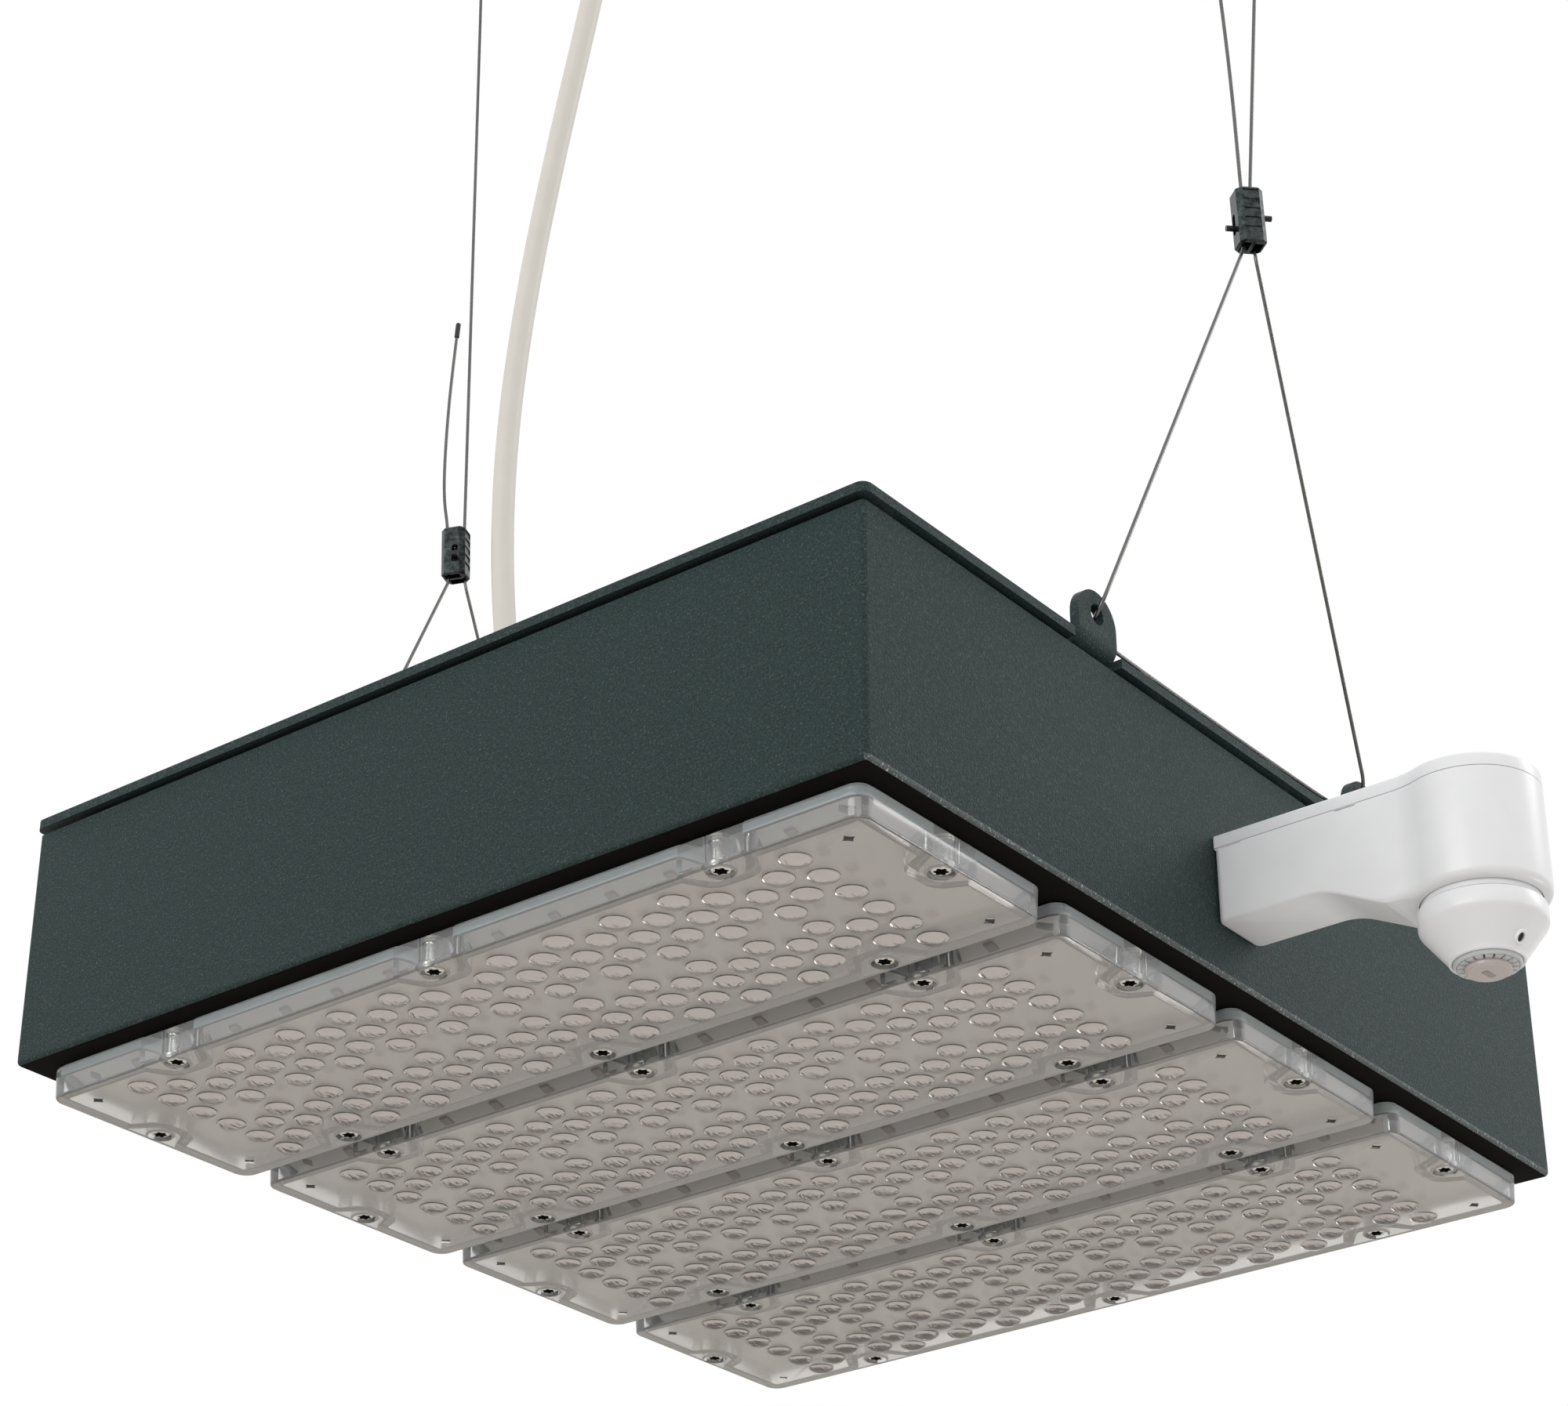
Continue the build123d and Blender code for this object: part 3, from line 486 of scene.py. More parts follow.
def sealed(name, inset, z0, z1):
    """The area inset from a module's edge that passes inside every screw."""
    length, width, corner = COVER_RIM
    outline = rectangle(length - 2 * inset, width - 2 * inset, max(corner - inset, 1.0), 6)
    area = prism(name, outline, z0, z1)
    for x, y in SCREWS:
        cut(area, prism("notch", pocket_outline(x, y, inset - SKIRT), z0 - 1, z1 + 1))
    return area


def drafted(name, low, high, z0, z1):
    """A closed solid between two outlines that have the same number of points."""
    n = len(low)
    verts = [(p.x, p.y, z0) for p in low] + [(p.x, p.y, z1) for p in high]
    faces = [tuple(range(n - 1, -1, -1)), tuple(range(n, 2 * n))]
    faces += [(i, (i + 1) % n, n + (i + 1) % n, n + i) for i in range(n)]
    mesh = bpy.data.meshes.new(name)
    mesh.from_pydata(verts, [], faces)
    return new_object(name, mesh)


def make_cover():
    """One clear tray with its lenses, in millimetres about its module's middle."""
    tray = drafted("tray", rectangle(*COVER_FACE, 8), rectangle(*COVER_RIM, 8), FACE, RIM_TOP)
    bevel(tray, 0.7, 4, 60)
    groove = sealed("groove", SKIRT, RIM_LOW, RIM_TOP + 1)
    cut(groove, sealed("core", SKIRT + 2.0, RIM_LOW - 1, RIM_TOP + 2))
    cut(tray, groove)
    cut(tray, sealed("chamber", SKIRT + 3.3, FACE + 2, RIM_TOP + 1))
    for x, y in SCREWS:
        well = prism("well", pocket_outline(x, y, 0), FACE + 1.8, RIM_TOP + 1)
        combine(well, prism("limit", rectangle(298.2, 79.0, 4.1, 6), FACE, RIM_TOP + 2), "INTERSECT")
        cut(well, lathe("boss", [(0, FACE), (4.45, FACE), (4.45, RIM_TOP + 2), (0, RIM_TOP + 2)], 36), x, y)
        cut(tray, well)
        cut(tray, lathe("bore", [(0, FACE - 1), (3.8, FACE - 1), (3.8, SEAT), (2.15, SEAT),
                                 (2.15, RIM_TOP + 1), (0, RIM_TOP + 1)], 36), x, y)
    for x, y in DIAMONDS:
        star = [Vector((math.cos(t * math.pi / 4), math.sin(t * math.pi / 4))) * (1.25 if t % 2 else 2.1)
                for t in range(8)]
        cut(tray, prism("mark", star, FACE - 1, FACE + 0.5), x, y)
    combine(tray, make_domes(4.5, 2.1, FACE, FACE + 0.4), "UNION")
    return tray


def make_domes(radius, rise, level, back):
    """One module's caps: shallow domes of a radius and rise, standing down from a level."""
    ball = (radius ** 2 + rise ** 2) / (2 * rise)
    profile = [(0, back), (radius, back), (radius, level), (radius - 0.08, level - 0.3)]
    for i in range(1, 10):
        r = (radius - 0.45) * (1 - (i - 1) / 8)
        profile.append((r, level + ball - rise - math.sqrt(ball * ball - r * r) - 0.1))
    dome = lathe("dome", profile, 28)
    made = copies("domes", dome, [Vector((x, y, 0)) for x, y in lens_places()])
    bpy.data.objects.remove(dome)
    return made


def cover_materials():
    """The tray's materials, in the order of its material indices."""
    clear = clear_plastic("cover_clear", 0.07, (0.93, 0.95, 0.96), 0.84)
    frosted = clear_plastic("cover_frosted", 0.15, (0.97, 0.935, 0.895), 0.72)
    etching = object_noise(frosted, 2600, 2)
    add_bump(frosted, etching.outputs["Fac"], 0.2, 0.00005)
    lens = clear_plastic("cover_lens", 0.05, (0.80, 0.755, 0.73), 0.9)
    ripple = object_noise(lens, 1100, 2, 0.5, (1.0, 0.25, 1.0))
    add_bump(lens, ripple.outputs["Fac"], 0.35, 0.0003)
    mark = plain("cover_mark", (0.06, 0.055, 0.05), 0.5)
    inside = clear_plastic("cover_inside", 0.05)
    # The end walls take a whiter, less clear copy of the clear plastic: a painted highlight.
    end = clear_plastic("cover_end_painted_highlight", 0.12, (0.95, 0.97, 0.985), 0.74)
    return [clear, frosted, lens, mark, inside, end]


def cover_index(tray, face):
    """Which of the cover's materials a face of the tray takes."""
    clear, frosted, lens, mark, inside, end = range(6)
    low = min(tray.data.vertices[v].co.z for v in face.vertices)
    x, y = abs(face.center.x), abs(face.center.y)
    flat = face.normal.z < -0.99
    if low < FACE - 0.03:
        return lens
    if flat and low < FACE + 0.05:
        return frosted
    if flat and FACE + 0.3 < low < FACE + 0.6 and len(face.vertices) < 12:
        return mark
    # The end walls take the copy with the painted highlight.
    if abs(face.normal.x) > 0.7 and x > 149.6:
        return end
    if x < 148.6 and y < 39.2 and low > FACE + 1.0:
        return inside
    return clear


def build_covers():
    """The four covers, as copies of one tray."""
    materials = cover_materials()
    tray = make_cover()
    for face in tray.data.polygons:
        face.material_index = cover_index(tray, face)
    for i, middle in enumerate(MODULES):
        piece = new_object(f"cover_{i + 1}_tray", tray.data.copy())
        to_world(piece, 0, middle, 0)
        smooth(piece, 32)
        finish_piece(piece, "luminaire", materials, (f"lens_cover_{i + 1}",))
    bpy.data.objects.remove(tray)


def painted_shade_underside():
    """Painted shade: the housing's underside, coloured near-black for the shade between the covers."""
    mat = plain("painted_shade_underside", (0.005, 0.0045, 0.004), 0.85)
    shader_of(mat).inputs["Specular IOR Level"].default_value = 0.08
    return mat


# ---- housing ---------------------------------------------------------------------------------------
HOUSING_X, HOUSING_Y, UNDERSIDE, SHEET = 315, 361.5, -81, 1.5


def build_housing(paint):
    """The folded sheet box, with rounded folds and an underside painted near-black as shade behind the
    modules.
    """
    shell = prism("shell", rectangle(HOUSING_X, HOUSING_Y, 1.6, 5), UNDERSIDE, -2)
    bevel(shell, 1.5, 4, 60)
    cut(shell, prism("open", rectangle(400, 400, 1), -5, 0))
    inner = rectangle(HOUSING_X - 2 * SHEET, HOUSING_Y - 2 * SHEET, 0.8, 4)
    cut(shell, prism("hollow", inner, UNDERSIDE + SHEET, 0))
    for middle in MODULES:
        for x, y in SCREWS:
            hole = lathe("hole", [(0, -83), (2.1, -83), (2.1, -78), (0, -78)], 20)
            cut(shell, hole, x, y + middle)
    coated, black, painted_highlight_index = 0, 1, 2
    for face in shell.data.polygons:
        height, normal = face.center.z, face.normal
        # Downward faces of the underside take the near-black painted shade.
        if normal.z < -0.97 and height < -80.9:
            face.material_index = black
        # The right lower fold takes the coat with the painted highlight.
        elif height < -79.2 and -0.97 < normal.z < -0.05 and normal.x > 0.2:
            face.material_index = painted_highlight_index
        else:
            face.material_index = coated
    to_world(shell)
    smooth(shell, 30)
    # The right lower fold is brighter than the flat sheet: it has a coat of its own whose flecks are six
    # times as bright, a painted highlight along the fold.
    materials = [paint, painted_shade_underside(), powder_coat("powder_coat_painted_fold_highlight", 1.0, 6.0)]
    finish_piece(shell, "luminaire", materials, ("housing_shell",))


# ---- sensor arm ------------------------------------------------------------------------------------
# The middle of the sensor head in plan.
HEAD = (231.0, 1.0)


def arm_outline(inset=0.0):
    """The arm in plan: a straight neck that swells into a round head."""
    hx, hy, r = HEAD[0], HEAD[1], 19.8 - inset
    front, rear = -15.9 + inset, 6.1 - inset
    made = [Vector((157.5 + inset, rear)), Vector((157.5 + inset, front))]
    for side, line, blend_r in ((-1, front, 22.0 + inset), (1, rear, 11.0 + inset)):
        cy = line + side * blend_r
        cx = hx - math.sqrt((r + blend_r) ** 2 - (cy - hy) ** 2)
        touch = math.atan2(cy - hy, cx - hx)
        arc = []
        start, end = -side * math.pi / 2, touch + math.pi
        while end - start > math.pi:
            end -= 2 * math.pi
        while start - end > math.pi:
            end += 2 * math.pi
        for i in range(9):
            t = start + (end - start) * i / 8
            arc.append(Vector((cx + blend_r * math.cos(t), cy + blend_r * math.sin(t))))
        if side < 0:
            first, made = touch, made + arc
        else:
            last, tail = touch, arc[::-1]
    if first > 0:
        first -= 2 * math.pi
    if last < 0:
        last += 2 * math.pi
    for i in range(1, 40):
        t = first + (last - first) * i / 40
        made.append(Vector((hx + r * math.cos(t), hy + r * math.sin(t))))
    return made + tail


def step_outline():
    """The side view of the space under the neck, with its S-shaped rise."""
    flat = rounded([(150, -65), (191, -65), (209.5, -74.1), (224, -75.3)], [0, 24, 10, 0], 14)
    return flat + [Vector((224, -96)), Vector((150, -96))]


def build_arm(white):
    """The arm's body and its cap, with a thin lip that shows in the seam."""
    body = prism("sensor_arm", arm_outline(), -74.8, -30)
    step = prism("step", step_outline(), -60, 60)
    step.data.transform(Matrix.Rotation(math.radians(90), 4, "X"))
    bevel(body, 2.6, 5, 42, False)
    cut(body, step)
    bevel(body, 0.8, 3, 48, False)
    cut(body, prism("above", rectangle(900, 200, 1), -42.0, 0))
    for x in (200.5, 163.0):
        cut(body, prism("pry", rectangle(7, 1.6, 0.3), -42.5, -41), x, -16.2)
    cut(body, lathe("bore", [(0, -80), (16.9, -80), (16.9, -73.2), (0, -73.2)], 48), *HEAD)
    cap = prism("sensor_cap", arm_outline(), -60, -37.7)
    bevel(cap, 0.9, 3, 42)
    cut(cap, prism("below", rectangle(900, 200, 1), -70, -41.75))
    lip = prism("sensor_lip", arm_outline(0.5), -42.3, -41.5)
    for piece, replaced in ((body, "sensor_arm_body"), (cap, "sensor_arm_cap"), (lip, None)):
        to_world(piece)
        smooth(piece, 30)
        finish_piece(piece, "luminaire", white, (replaced,) if replaced else ())


def build_sensor_head(white):
    """The cone with its photocell hole, and the ring that it turns in."""
    profile = [(8.7, -72.2), (8.7, -76.9), (17.2, -76.9), (17.6, -77.05), (17.8, -77.4), (17.8, -81.6),
               (17.7, -82.1), (17.45, -82.6), (17.1, -83.1), (11.2, -91.0), (10.7, -91.8), (10.5, -92.3),
               (10.1, -92.6), (9.7, -92.5), (9.6, -92.1), (8.6, -90.6), (8.6, -88.0), (15, -82), (15, -78.6),
               (7.0, -78.6), (7.0, -70.6), (11, -70.6), (11, -72.2)]
    head = lathe("sensor_cone", profile, 96)
    rim = lathe("rim", [(0, -1.6), (2.5, -1.6), (2.35, 0.0), (2.1, 0.42), (1.85, 0.55), (1.5, 0.4), (0, 0.4)],
                40)
    hole = lathe("hole", [(0, -2.6), (1.4, -2.6), (1.4, 2.0), (0, 2.0)], 32)
    cell = lathe("photocell", [(0, -2.7), (1.5, -2.7), (1.5, -0.25), (0, -0.25)], 24)
    # The photocell is on the cone's slope, turned a little from the right towards the front.
    spot = Matrix.Rotation(math.radians(-16), 4, "Z") @ Matrix.Translation((12.5, 0, -89.3))
    spot = spot @ Matrix.Rotation(math.radians(128), 4, "Y") @ Matrix.Scale(0.8, 4, (0, 1, 0))
    for piece in (rim, hole, cell):
        piece.data.transform(spot)
    combine(head, rim, "UNION")
    cut(head, hole)
    ring = lathe("sensor_ring", [(9.0, -74.0), (9.0, -76.6), (16.2, -76.6), (16.6, -76.3), (16.6, -74.0)], 64)
    to_world(cell, *HEAD)
    finish_piece(cell, "sensor_head",
                 plain("photocell_dark", (0.004, 0.004, 0.004), 0.4))
    for piece, body, name in ((head, "sensor_head", "sensor_head"),
                              (ring, "luminaire", "sensor_collar_ring")):
        to_world(piece, *HEAD)
        smooth(piece, 30)
        finish_piece(piece, body, white, (name,))


def build_sensor_lens():
    """A clear outer ring with moulded facets round a milky centre disc."""
    clear = clear_plastic("pir_clear", 0.1, (0.84, 0.87, 0.89), 0.4)
    milky = plain("pir_milky", (0.62, 0.55, 0.53), 0.2)
    shader_of(milky).inputs["Transmission Weight"].default_value = 0.15
    grey = plain("pir_grey", (0.30, 0.32, 0.34), 0.3)
    brown = plain("pir_element", (0.33, 0.28, 0.27), 0.3)
    back = lathe("pir_back", [(0, -90.7), (8.4, -90.7), (9.3, -92.0), (6.0, -92.6), (0, -92.8)], 48)
    ring = lathe("pir_ring", [(8.3, -91.9), (9.5, -91.9), (9.45, -92.9), (9.1, -93.5), (8.6, -93.6),
                              (8.3, -93.1)], 64)
    wedge = [Vector(p) for p in ((6.2, -0.85), (8.4, -1.2), (8.4, 1.2), (6.2, 0.85))]
    facet = prism("facet", wedge, -93.9, -92.3)
    bevel(facet, 0.25, 2)
    facets = copies("pir_facets", facet,
                    [Matrix.Rotation(math.radians(20 * i), 4, "Z") for i in range(18)])
    bpy.data.objects.remove(facet)
    disc = lathe("pir_disc", [(0, -92.9), (6.3, -92.9), (6.5, -94.6), (6.3, -95.1), (5.9, -95.25),
                              (5.7, -95.5), (0, -95.75)], 48)
    element = prism("pir_element", rectangle(4.6, 2.0, 0.5), -95.8, -95.5)
    element.data.transform(Matrix.Rotation(math.radians(85), 4, "Z"))
    for piece, mat in ((back, grey), (ring, clear), (facets, clear), (disc, milky), (element, brown)):
        to_world(piece, *HEAD)
        smooth(piece, 30)
        finish_piece(piece, "sensor_head", mat, ("sensor_lens",))


# ---- screws ----------------------------------------------------------------------------------------
def star_prism(name, radius, z0, z1):
    """The solid of a six-lobed socket."""
    outline = []
    for i in range(48):
        t = 2 * math.pi * i / 48
        outline.append(Vector((math.cos(t), math.sin(t))) * radius * (1 + 0.16 * math.cos(6 * t)))
    return prism(name, outline, z0, z1)


def build_module_screws():
    """The screws of the covers, with heads that taper downwards and six-lobed sockets."""
    low = SEAT - 1.9
    head = lathe("head", [(0, SEAT), (3.55, SEAT), (3.55, SEAT - 0.55), (3.4, SEAT - 0.95), (2.9, low + 0.3),
                          (2.6, low + 0.08), (2.35, low), (0, low)], 40)
    cut(head, star_prism("star", 1.85, low - 1, low + 1.5))
    shank = lathe("shank", [(0, SEAT - 0.2), (2.0, SEAT - 0.2), (2.0, SEAT + 12.6), (0, SEAT + 12.6)], 24)
    combine(head, shank, "UNION")
    metal_mat = metal("screw_plated", (0.97, 0.95, 0.86), 0.24)
    # The sockets' faces are painted near-black as the shade inside them.
    socket = plain("socket_painted_shade", (0.008, 0.008, 0.008), 0.5)
    head.data.materials.append(metal_mat)
    head.data.materials.append(socket)
    for face in head.data.polygons:
        if face.center.xy.length < 2.25 and low + 0.1 < face.center.z < SEAT - 0.2:
            face.material_index = 1
    places = []
    for n, middle in enumerate(MODULES):
        for k, (x, y) in enumerate(SCREWS):
            places.append(Matrix.Translation((x, y + middle, 0)) @ Matrix.Rotation(0.7 * (k + 3 * n), 4, "Z"))
    screws = copies("cover_screws", head, places)
    bpy.data.objects.remove(head)
    to_world(screws)
    smooth(screws, 28)
    finish_piece(screws, "luminaire", [metal_mat, socket], ("module_screws",))


# ---- wire ropes and the mains cable ----------------------------------------------------------------
BALL_TOP = 460.1
GLAND_X, OUTLET_X = -123, -98.8
# Diameters, and how far apart a route's points are, in metres.
ROPE, ROPE_STEP = 0.0012, 0.0005
CABLE, CABLE_STEP = 0.0083, 0.002

# The lid's wire lugs: half their distance, its middle, the height of their holes, and how far out the wire
# runs on the lid's outer and inner side. LEG_FOOT_Y is where its legs come down to the lugs.
LUG_Y, LUG_MIDDLE, LUG_HOLE_Z = 74.2, 1.3, 9.0
WIRE_OUTER, WIRE_INNER, LEG_FOOT_Y = 161.15, 153.35, 72.2
# A gripper block's height, and how far each of its two wire channels is from its middle.
GRIP_HEIGHT, GRIP_WIRE = 19.6, (2.4, 2.3)
# Each gripper block hangs in its wires: the middle of its lower face, its turns about X, Y and Z in degrees,
# where the front and the rear leg leave it, the X of its wire's ball in the ceiling anchor, and the route of
# the wire's free end above it.
GRIPPERS = {
    "left": {
        "place": (-161.9, 0, 173.2), "turns": (3.0, 0.3, 23.0), "exits": ((-1.5, -2.0), (2.7, 2.2)),
        "ball_x": -164.1,
        "tail": [(-165.4, -4.4, 205.2), (-165.9, -4.7, 219.5), (-165.4, -4.9, 239.9),
                 (-164.0, -5.2, 260.2), (-162.3, -5.4, 277.0)],
    },
    "right": {
        "place": (176.3, 0, 169.4), "turns": (6.8, 2.5, -41.0), "exits": ((0.3, -2.7), (-2.6, 2.0)),
        "ball_x": 203.5,
        "tail": [(177.5, -6.1, 203), (177.4, -6.3, 219), (177.0, -6.5, 238), (176.4, -6.8, 257),
                 (175.4, -7.0, 279), (173.9, -7.2, 301)],
    },
}


def in_gripper(side, x, y, z):
    """A point of a gripper block, given from the middle of its lower face, to 0.01 mm."""
    place = Matrix.Translation(GRIPPERS[side]["place"])
    for angle, axis in zip(GRIPPERS[side]["turns"], "XYZ"):
        place = place @ Matrix.Rotation(math.radians(angle), 4, axis)
    return tuple(round(value, 2) for value in place @ Vector((x, y, z)))


def in_channel(side, end, z):
    """A point in a gripper's front (-1) or rear (1) wire channel."""
    x, y = GRIP_WIRE
    return in_gripper(side, end * x * (1 if side == "left" else -1), end * y, z)


def curve_points(points, resolution=24):
    """Evenly dense points read from a NURBS line through given control points, in metres."""
    data = bpy.data.curves.new("line", "CURVE")
    data.dimensions, data.resolution_u = "3D", resolution
    spline = data.splines.new("NURBS")
    spline.points.add(len(points) - 1)
    for knot, p in zip(spline.points, points):
        knot.co = (*p, 1)
    spline.order_u = 3
    spline.use_endpoint_u = True
    line = new_object("line", data)
    bpy.context.view_layer.update()
    mesh = bpy.data.meshes.new_from_object(line)
    made = [v.co.copy() for v in mesh.vertices]
    bpy.data.objects.remove(line)
    bpy.data.meshes.remove(mesh)
    return made


def even(points, step):
    """The same line with its points step apart."""
    made, carry = [points[0]], 0.0
    for a, b in zip(points, points[1:]):
        length = (b - a).length
        if length == 0:
            continue
        along = step - carry
        while along <= length:
            made.append(a.lerp(b, along / length))
            along += step
        carry = length - (along - step)
    if (made[-1] - points[-1]).length > 0.3 * step:
        made.append(points[-1])
    else:
        made[-1] = points[-1]
    return made


def frames_along(points):
    """A tangent and two steady side vectors at each point."""
    made, side = [], None
    for i, p in enumerate(points):
        tangent = (points[min(i + 1, len(points) - 1)] - points[max(i - 1, 0)]).normalized()
        if side is None:
            side = tangent.orthogonal().normalized()
        side = (side - tangent * side.dot(tangent)).normalized()
        made.append((p, tangent, side, tangent.cross(side)))
    return made


def sweep(name, points, radius, around=16, shape=None):
    """A closed tube along the points; shape(angle, distance) scales its radius."""
    verts, faces, distance = [], [], 0.0
    line = frames_along(points)
    for i, (p, _, u, v) in enumerate(line):
        if i:
            distance += (p - line[i - 1][0]).length
        for k in range(around):
            t = 2 * math.pi * k / around
            r = radius * (shape(t, distance) if shape else 1)
            verts.append(p + (u * math.cos(t) + v * math.sin(t)) * r)
    for i in range(len(line) - 1):
        for k in range(around):
            a, b = i * around + k, i * around + (k + 1) % around
            faces.append((a, b, b + around, a + around))
    faces.append(tuple(range(around - 1, -1, -1)))
    faces.append(tuple(range((len(line) - 1) * around, len(line) * around)))
    mesh = bpy.data.meshes.new(name)
    mesh.from_pydata([tuple(p) for p in verts], [], faces)
    made = new_object(name, mesh)
    mesh.shade_smooth()
    mesh.set_sharp_from_angle(angle=math.radians(60))
    return made


def strand(angle, distance, lay=0.0085):
    """The rope's radius, as a share of its largest, with six strands that turn once in a lay (in metres)."""
    lobe = abs(math.cos(3 * (angle - 2 * math.pi * distance / lay)))
    return 0.83 + 0.17 * math.sqrt(max(0.0, 1 - (1 - lobe) ** 2))


def taut(a, b, reach=7.0):
    """Two more points on a straight stretch, near its ends, that keep the curve straight between them."""
    a, b = Vector(a), Vector(b)
    along = (b - a).normalized() * reach
    return [tuple(a + along), tuple(b - along)]


def wire_line(side, sign):
    """One side's wire: from the ceiling through the gripper, through both lugs, and back up into it."""
    half = {}
    for end in (1, -1):
        lug_y = LUG_MIDDLE + end * LUG_Y
        way_out = in_gripper(side, *GRIPPERS[side]["exits"][0 if end < 0 else 1], -1.0)
        foot = (sign * WIRE_OUTER, end * LEG_FOOT_Y, LUG_HOLE_Z + 5.4)
        half[end] = [in_channel(side, end, 12), in_channel(side, end, 6.5), way_out] + taut(way_out, foot)
        half[end] += [
            foot,
            (sign * (WIRE_OUTER - 3.1), lug_y - end * 0.9, LUG_HOLE_Z + 1.0),
            (sign * WIRE_INNER, lug_y - end * 3.4, LUG_HOLE_Z - 1.8),
            (sign * WIRE_INNER, end * 51.0, LUG_HOLE_Z - 2.8),
        ]
    ball, mouth = (GRIPPERS[side]["ball_x"], 0, BALL_TOP), in_channel(side, 1, GRIP_HEIGHT + 1)
    return [ball] + taut(ball, mouth) + [mouth] + half[1] + half[-1][::-1]


def tail_line(side):
    """One side's free end: from inside the gripper's front channel to its tip."""
    return [in_channel(side, -1, 12), in_channel(side, -1, GRIP_HEIGHT + 1)] + GRIPPERS[side]["tail"]


def build_wires():
    """On each side one wire rope, and its free end with a black tip."""
    rope = metal("rope_steel", (0.165, 0.165, 0.16), 0.24)
    black = moulded("wire_tip_black", (0.012, 0.012, 0.013), 0.4)
    for side, sign in (("left", -1), ("right", 1)):
        route = even(curve_points([at(*p) for p in wire_line(side, sign)], 40), ROPE_STEP)
        piece = sweep(f"wire_{side}", route, ROPE / 2, 18, strand)
        piece.data.materials.append(rope)
        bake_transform(piece)
        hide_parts(f"wire_upper_{side}", f"wire_loop_{side}")
        route = even(curve_points([at(*p) for p in tail_line(side)], 40), ROPE_STEP)
        end = sweep(f"wire_tail_{side}_rope", route, ROPE / 2, 18, strand)
        finish_piece(end, "luminaire", rope, (f"wire_tail_{side}",))
        along = (route[-1] - route[-3]).normalized()
        cap = sweep(f"wire_tip_{side}", [route[-1] + along * d for d in (-0.0004, 0, 0.0002, 0.0056, 0.006)],
                    0.00095, 20, lambda t, d: 0.7 if d < 0.0003 or d > 0.0061 else 1)
        finish_piece(cap, "luminaire", black, ("wire_tips",))


# The grippers' release wedges.
RELEASES = ("left_front", "left_rear", "right_front", "right_rear")

# The cable's route, from the gland to the ceiling outlet.
MAINS = [(GLAND_X, 0, 19), (GLAND_X, 0, 58), (-131.5, 0, 108), (-139.4, 0, 166), (-139.8, 0, 226),
         (-132, 0, 290), (-119, 0, 352), (-105.5, 0, 408), (OUTLET_X, 0, 438), (OUTLET_X, 0, 463)]


def build_mains():
    """The mains cable and the tapered boot on its gland."""
    sheath = moulded("cable_pvc", (0.69, 0.665, 0.61), 0.42, 0.08)
    route = even(curve_points([at(*p) for p in MAINS], 40), CABLE_STEP)
    cable = sweep("mains_flex", route, CABLE / 2, 28)
    cable.data.materials.append(sheath)
    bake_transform(cable)
    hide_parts("mains_cable")
    boot = lathe("cable_boot", [(4.2, 18.4), (7.6, 18.4), (7.6, 20.5), (7.0, 21.5), (6.6, 26), (6.0, 33),
                                (5.4, 40), (5.0, 44.5), (4.7, 45.2), (4.2, 45.2)], 40)
    for i in range(6):
        z = 24 + 3.2 * i
        cut(boot, lathe("slit", [(5.0, z), (9, z), (9, z + 1.1), (5.0, z + 1.1)], 40))
    to_world(boot, GLAND_X)
    smooth(boot, 30)
    finish_piece(boot, "luminaire", moulded("boot_rubber", (0.20, 0.205, 0.21), 0.5))


def build_springs():
    """The release springs: copies of the CAD ones, each with a mesh of its own."""
    steel = metal("spring_steel", (0.6, 0.6, 0.58), 0.25)
    for side in RELEASES:
        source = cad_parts[f"release_spring_{side}"]
        mesh = source.data.copy()
        mesh.transform(source.matrix_world)
        spring = new_object(f"coil_{side}", mesh)
        finish_piece(spring, "luminaire", steel, (f"release_spring_{side}",))
        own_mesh(spring)


# ---- CAD nodes that only need their finish ---------------------------------------------------------
def coat(material, *names):
    """Gives the named CAD nodes a material in place of their own."""
    for name in names:
        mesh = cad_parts[name].data
        if not mesh.materials:
            mesh.materials.append(material)
        for i in range(len(mesh.materials)):
            mesh.materials[i] = material


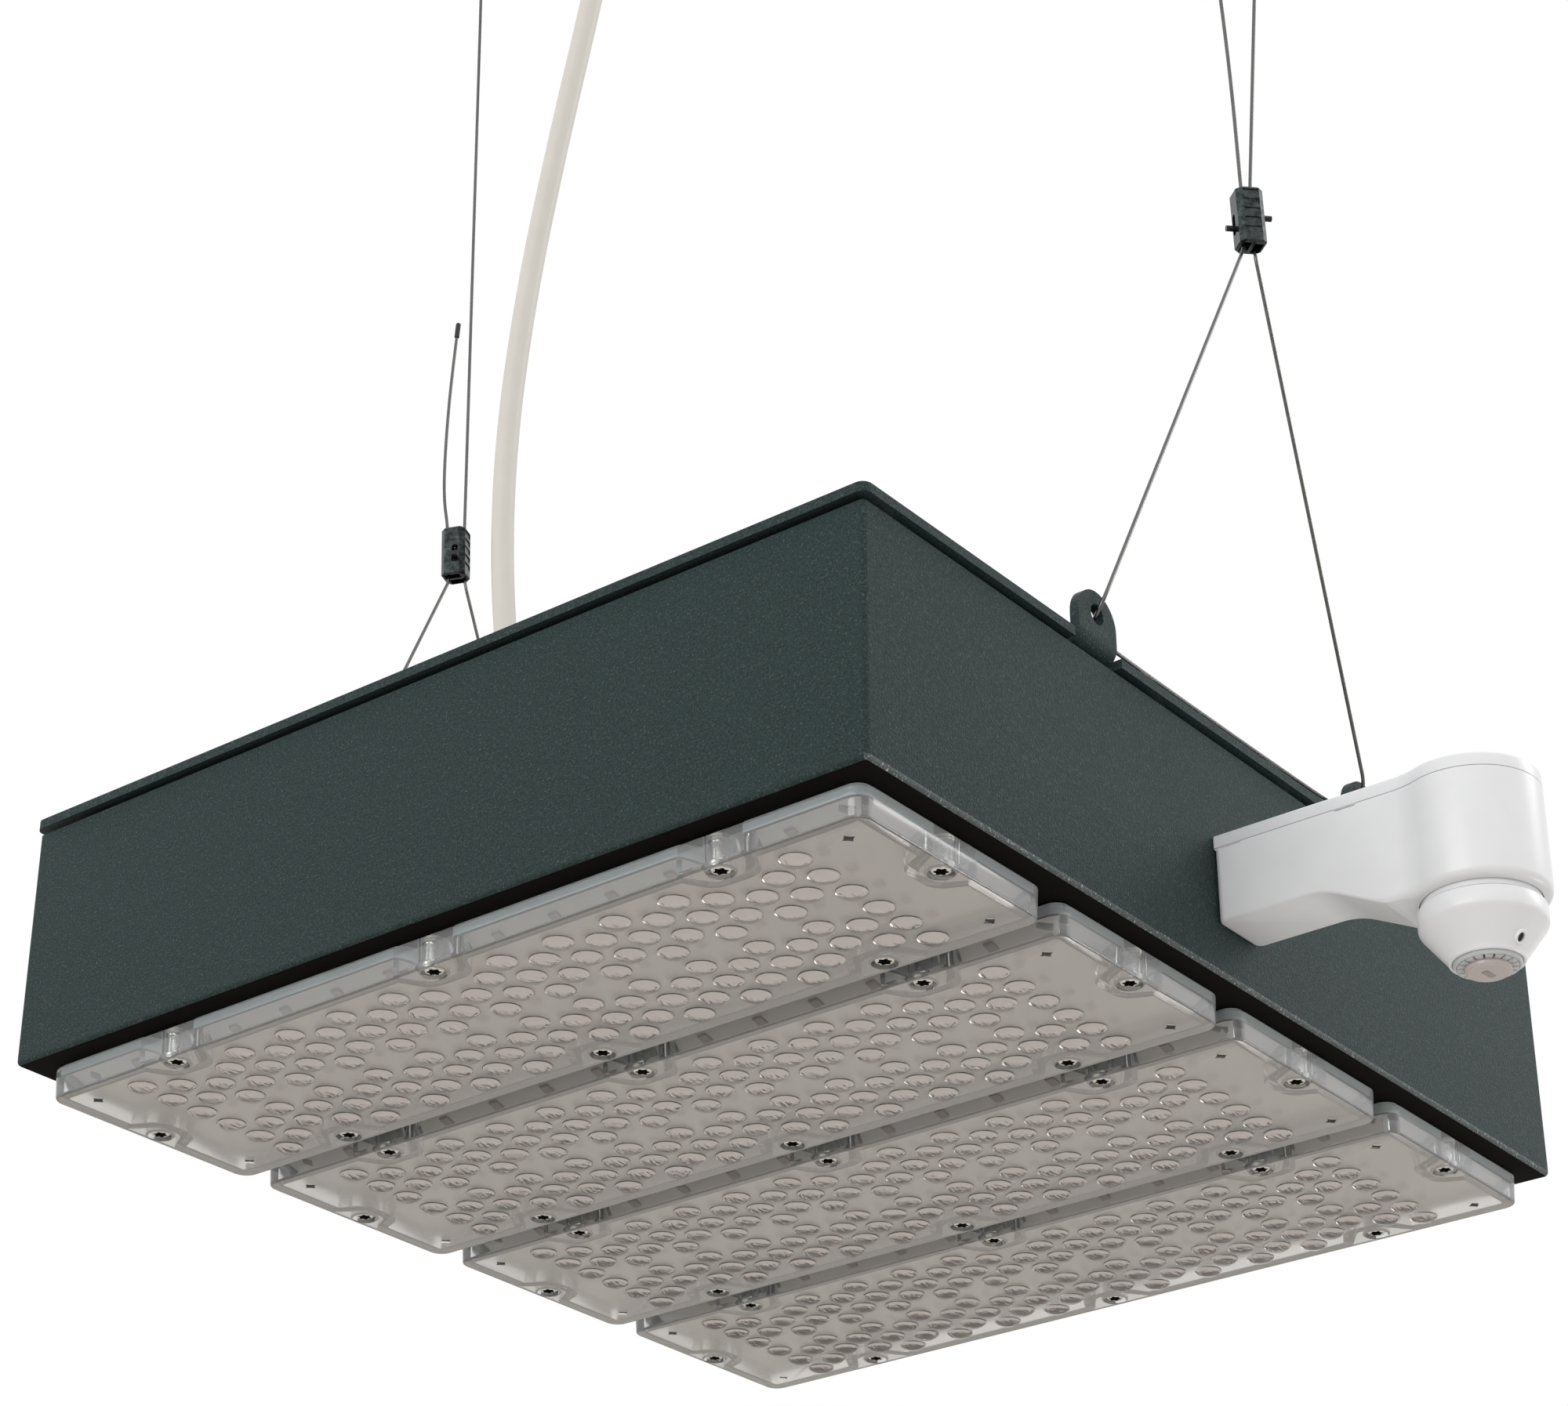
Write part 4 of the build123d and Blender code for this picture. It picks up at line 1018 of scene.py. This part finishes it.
def finish_nodes(paint, white):
    """The materials of the CAD nodes that no piece stands for."""
    coat(paint, "lid_plate")
    coat(gripper_metal(), "grip_body_left", "grip_body_right")
    coat(plain("pin_black", (0.02, 0.02, 0.021), 0.3, 0.4), *[f"release_wedge_{name}" for name in RELEASES])
    coat(metal("plated_small", (0.8, 0.79, 0.74), 0.22), "lid_screws", "driver_screws", "sensor_screws",
         "gland_locknut")
    coat(white, "outlet_cover", "outlet_base")
    coat(moulded("rubber_grey", (0.05, 0.05, 0.052), 0.6), "lid_gasket", "gland_seal", "outlet_bush")
    coat(moulded("silicone", (0.66, 0.74, 0.77), 0.4), "cover_gaskets")
    coat(moulded("gland_grey", (0.30, 0.31, 0.32), 0.35), "gland_body", "gland_nut")
    coat(metal("board_aluminium", (0.62, 0.62, 0.60), 0.35), "heat_spreader")
    coat(moulded("board_mask", (0.70, 0.68, 0.66), 0.35), *[f"led_board_{i}" for i in (1, 2, 3, 4)])
    coat(plain("led_phosphor", (0.40, 0.335, 0.31), 0.3), "leds")
    coat(metal("driver_case", (0.7, 0.7, 0.7), 0.3), "led_driver_front", "led_driver_rear")
    coat(moulded("terminal_white", (0.75, 0.76, 0.75), 0.35), "terminal_block")
    coat(moulded("hook_up_wire", (0.6, 0.6, 0.58), 0.4), "internal_wires", "mains_cable_inner")
    coat(metal("anchor_nickel", (0.72, 0.71, 0.69), 0.2), "anchor_bases", "anchor_caps", "wire_balls")
    coat(moulded("pir_board", (0.1, 0.25, 0.12), 0.4), "sensor_board")


make_camera()
make_world()
make_stage()
area_light("rear_right", at(1150, 1080, 881), at(157, -100, -60), (0.6, 0.6), 5)
area_light("rear_low", at(900, 980, -840), at(157, -60, -80), (0.4, 0.4), 3.0)
area_light("front", at(150, -2400, 300), at(100, 0, -60), (1.4, 1.0), 16)
coating = powder_coat()
moulding = moulded("white_moulding", (0.825, 0.835, 0.855), 0.32)
build_housing(coating)
build_arm(moulding)
build_sensor_head(moulding)
build_sensor_lens()
finish_nodes(coating, moulding)
soften("lid_plate", width=0.45)
soften("grip_body_left", "grip_body_right", width=0.28)
soften("outlet_cover", "anchor_bases", "anchor_caps", "gland_body", "gland_nut", width=0.5)
build_covers()
build_module_screws()
build_wires()
build_mains()
build_springs()

scene = bpy.context.scene
scene.view_settings.view_transform = "Standard"
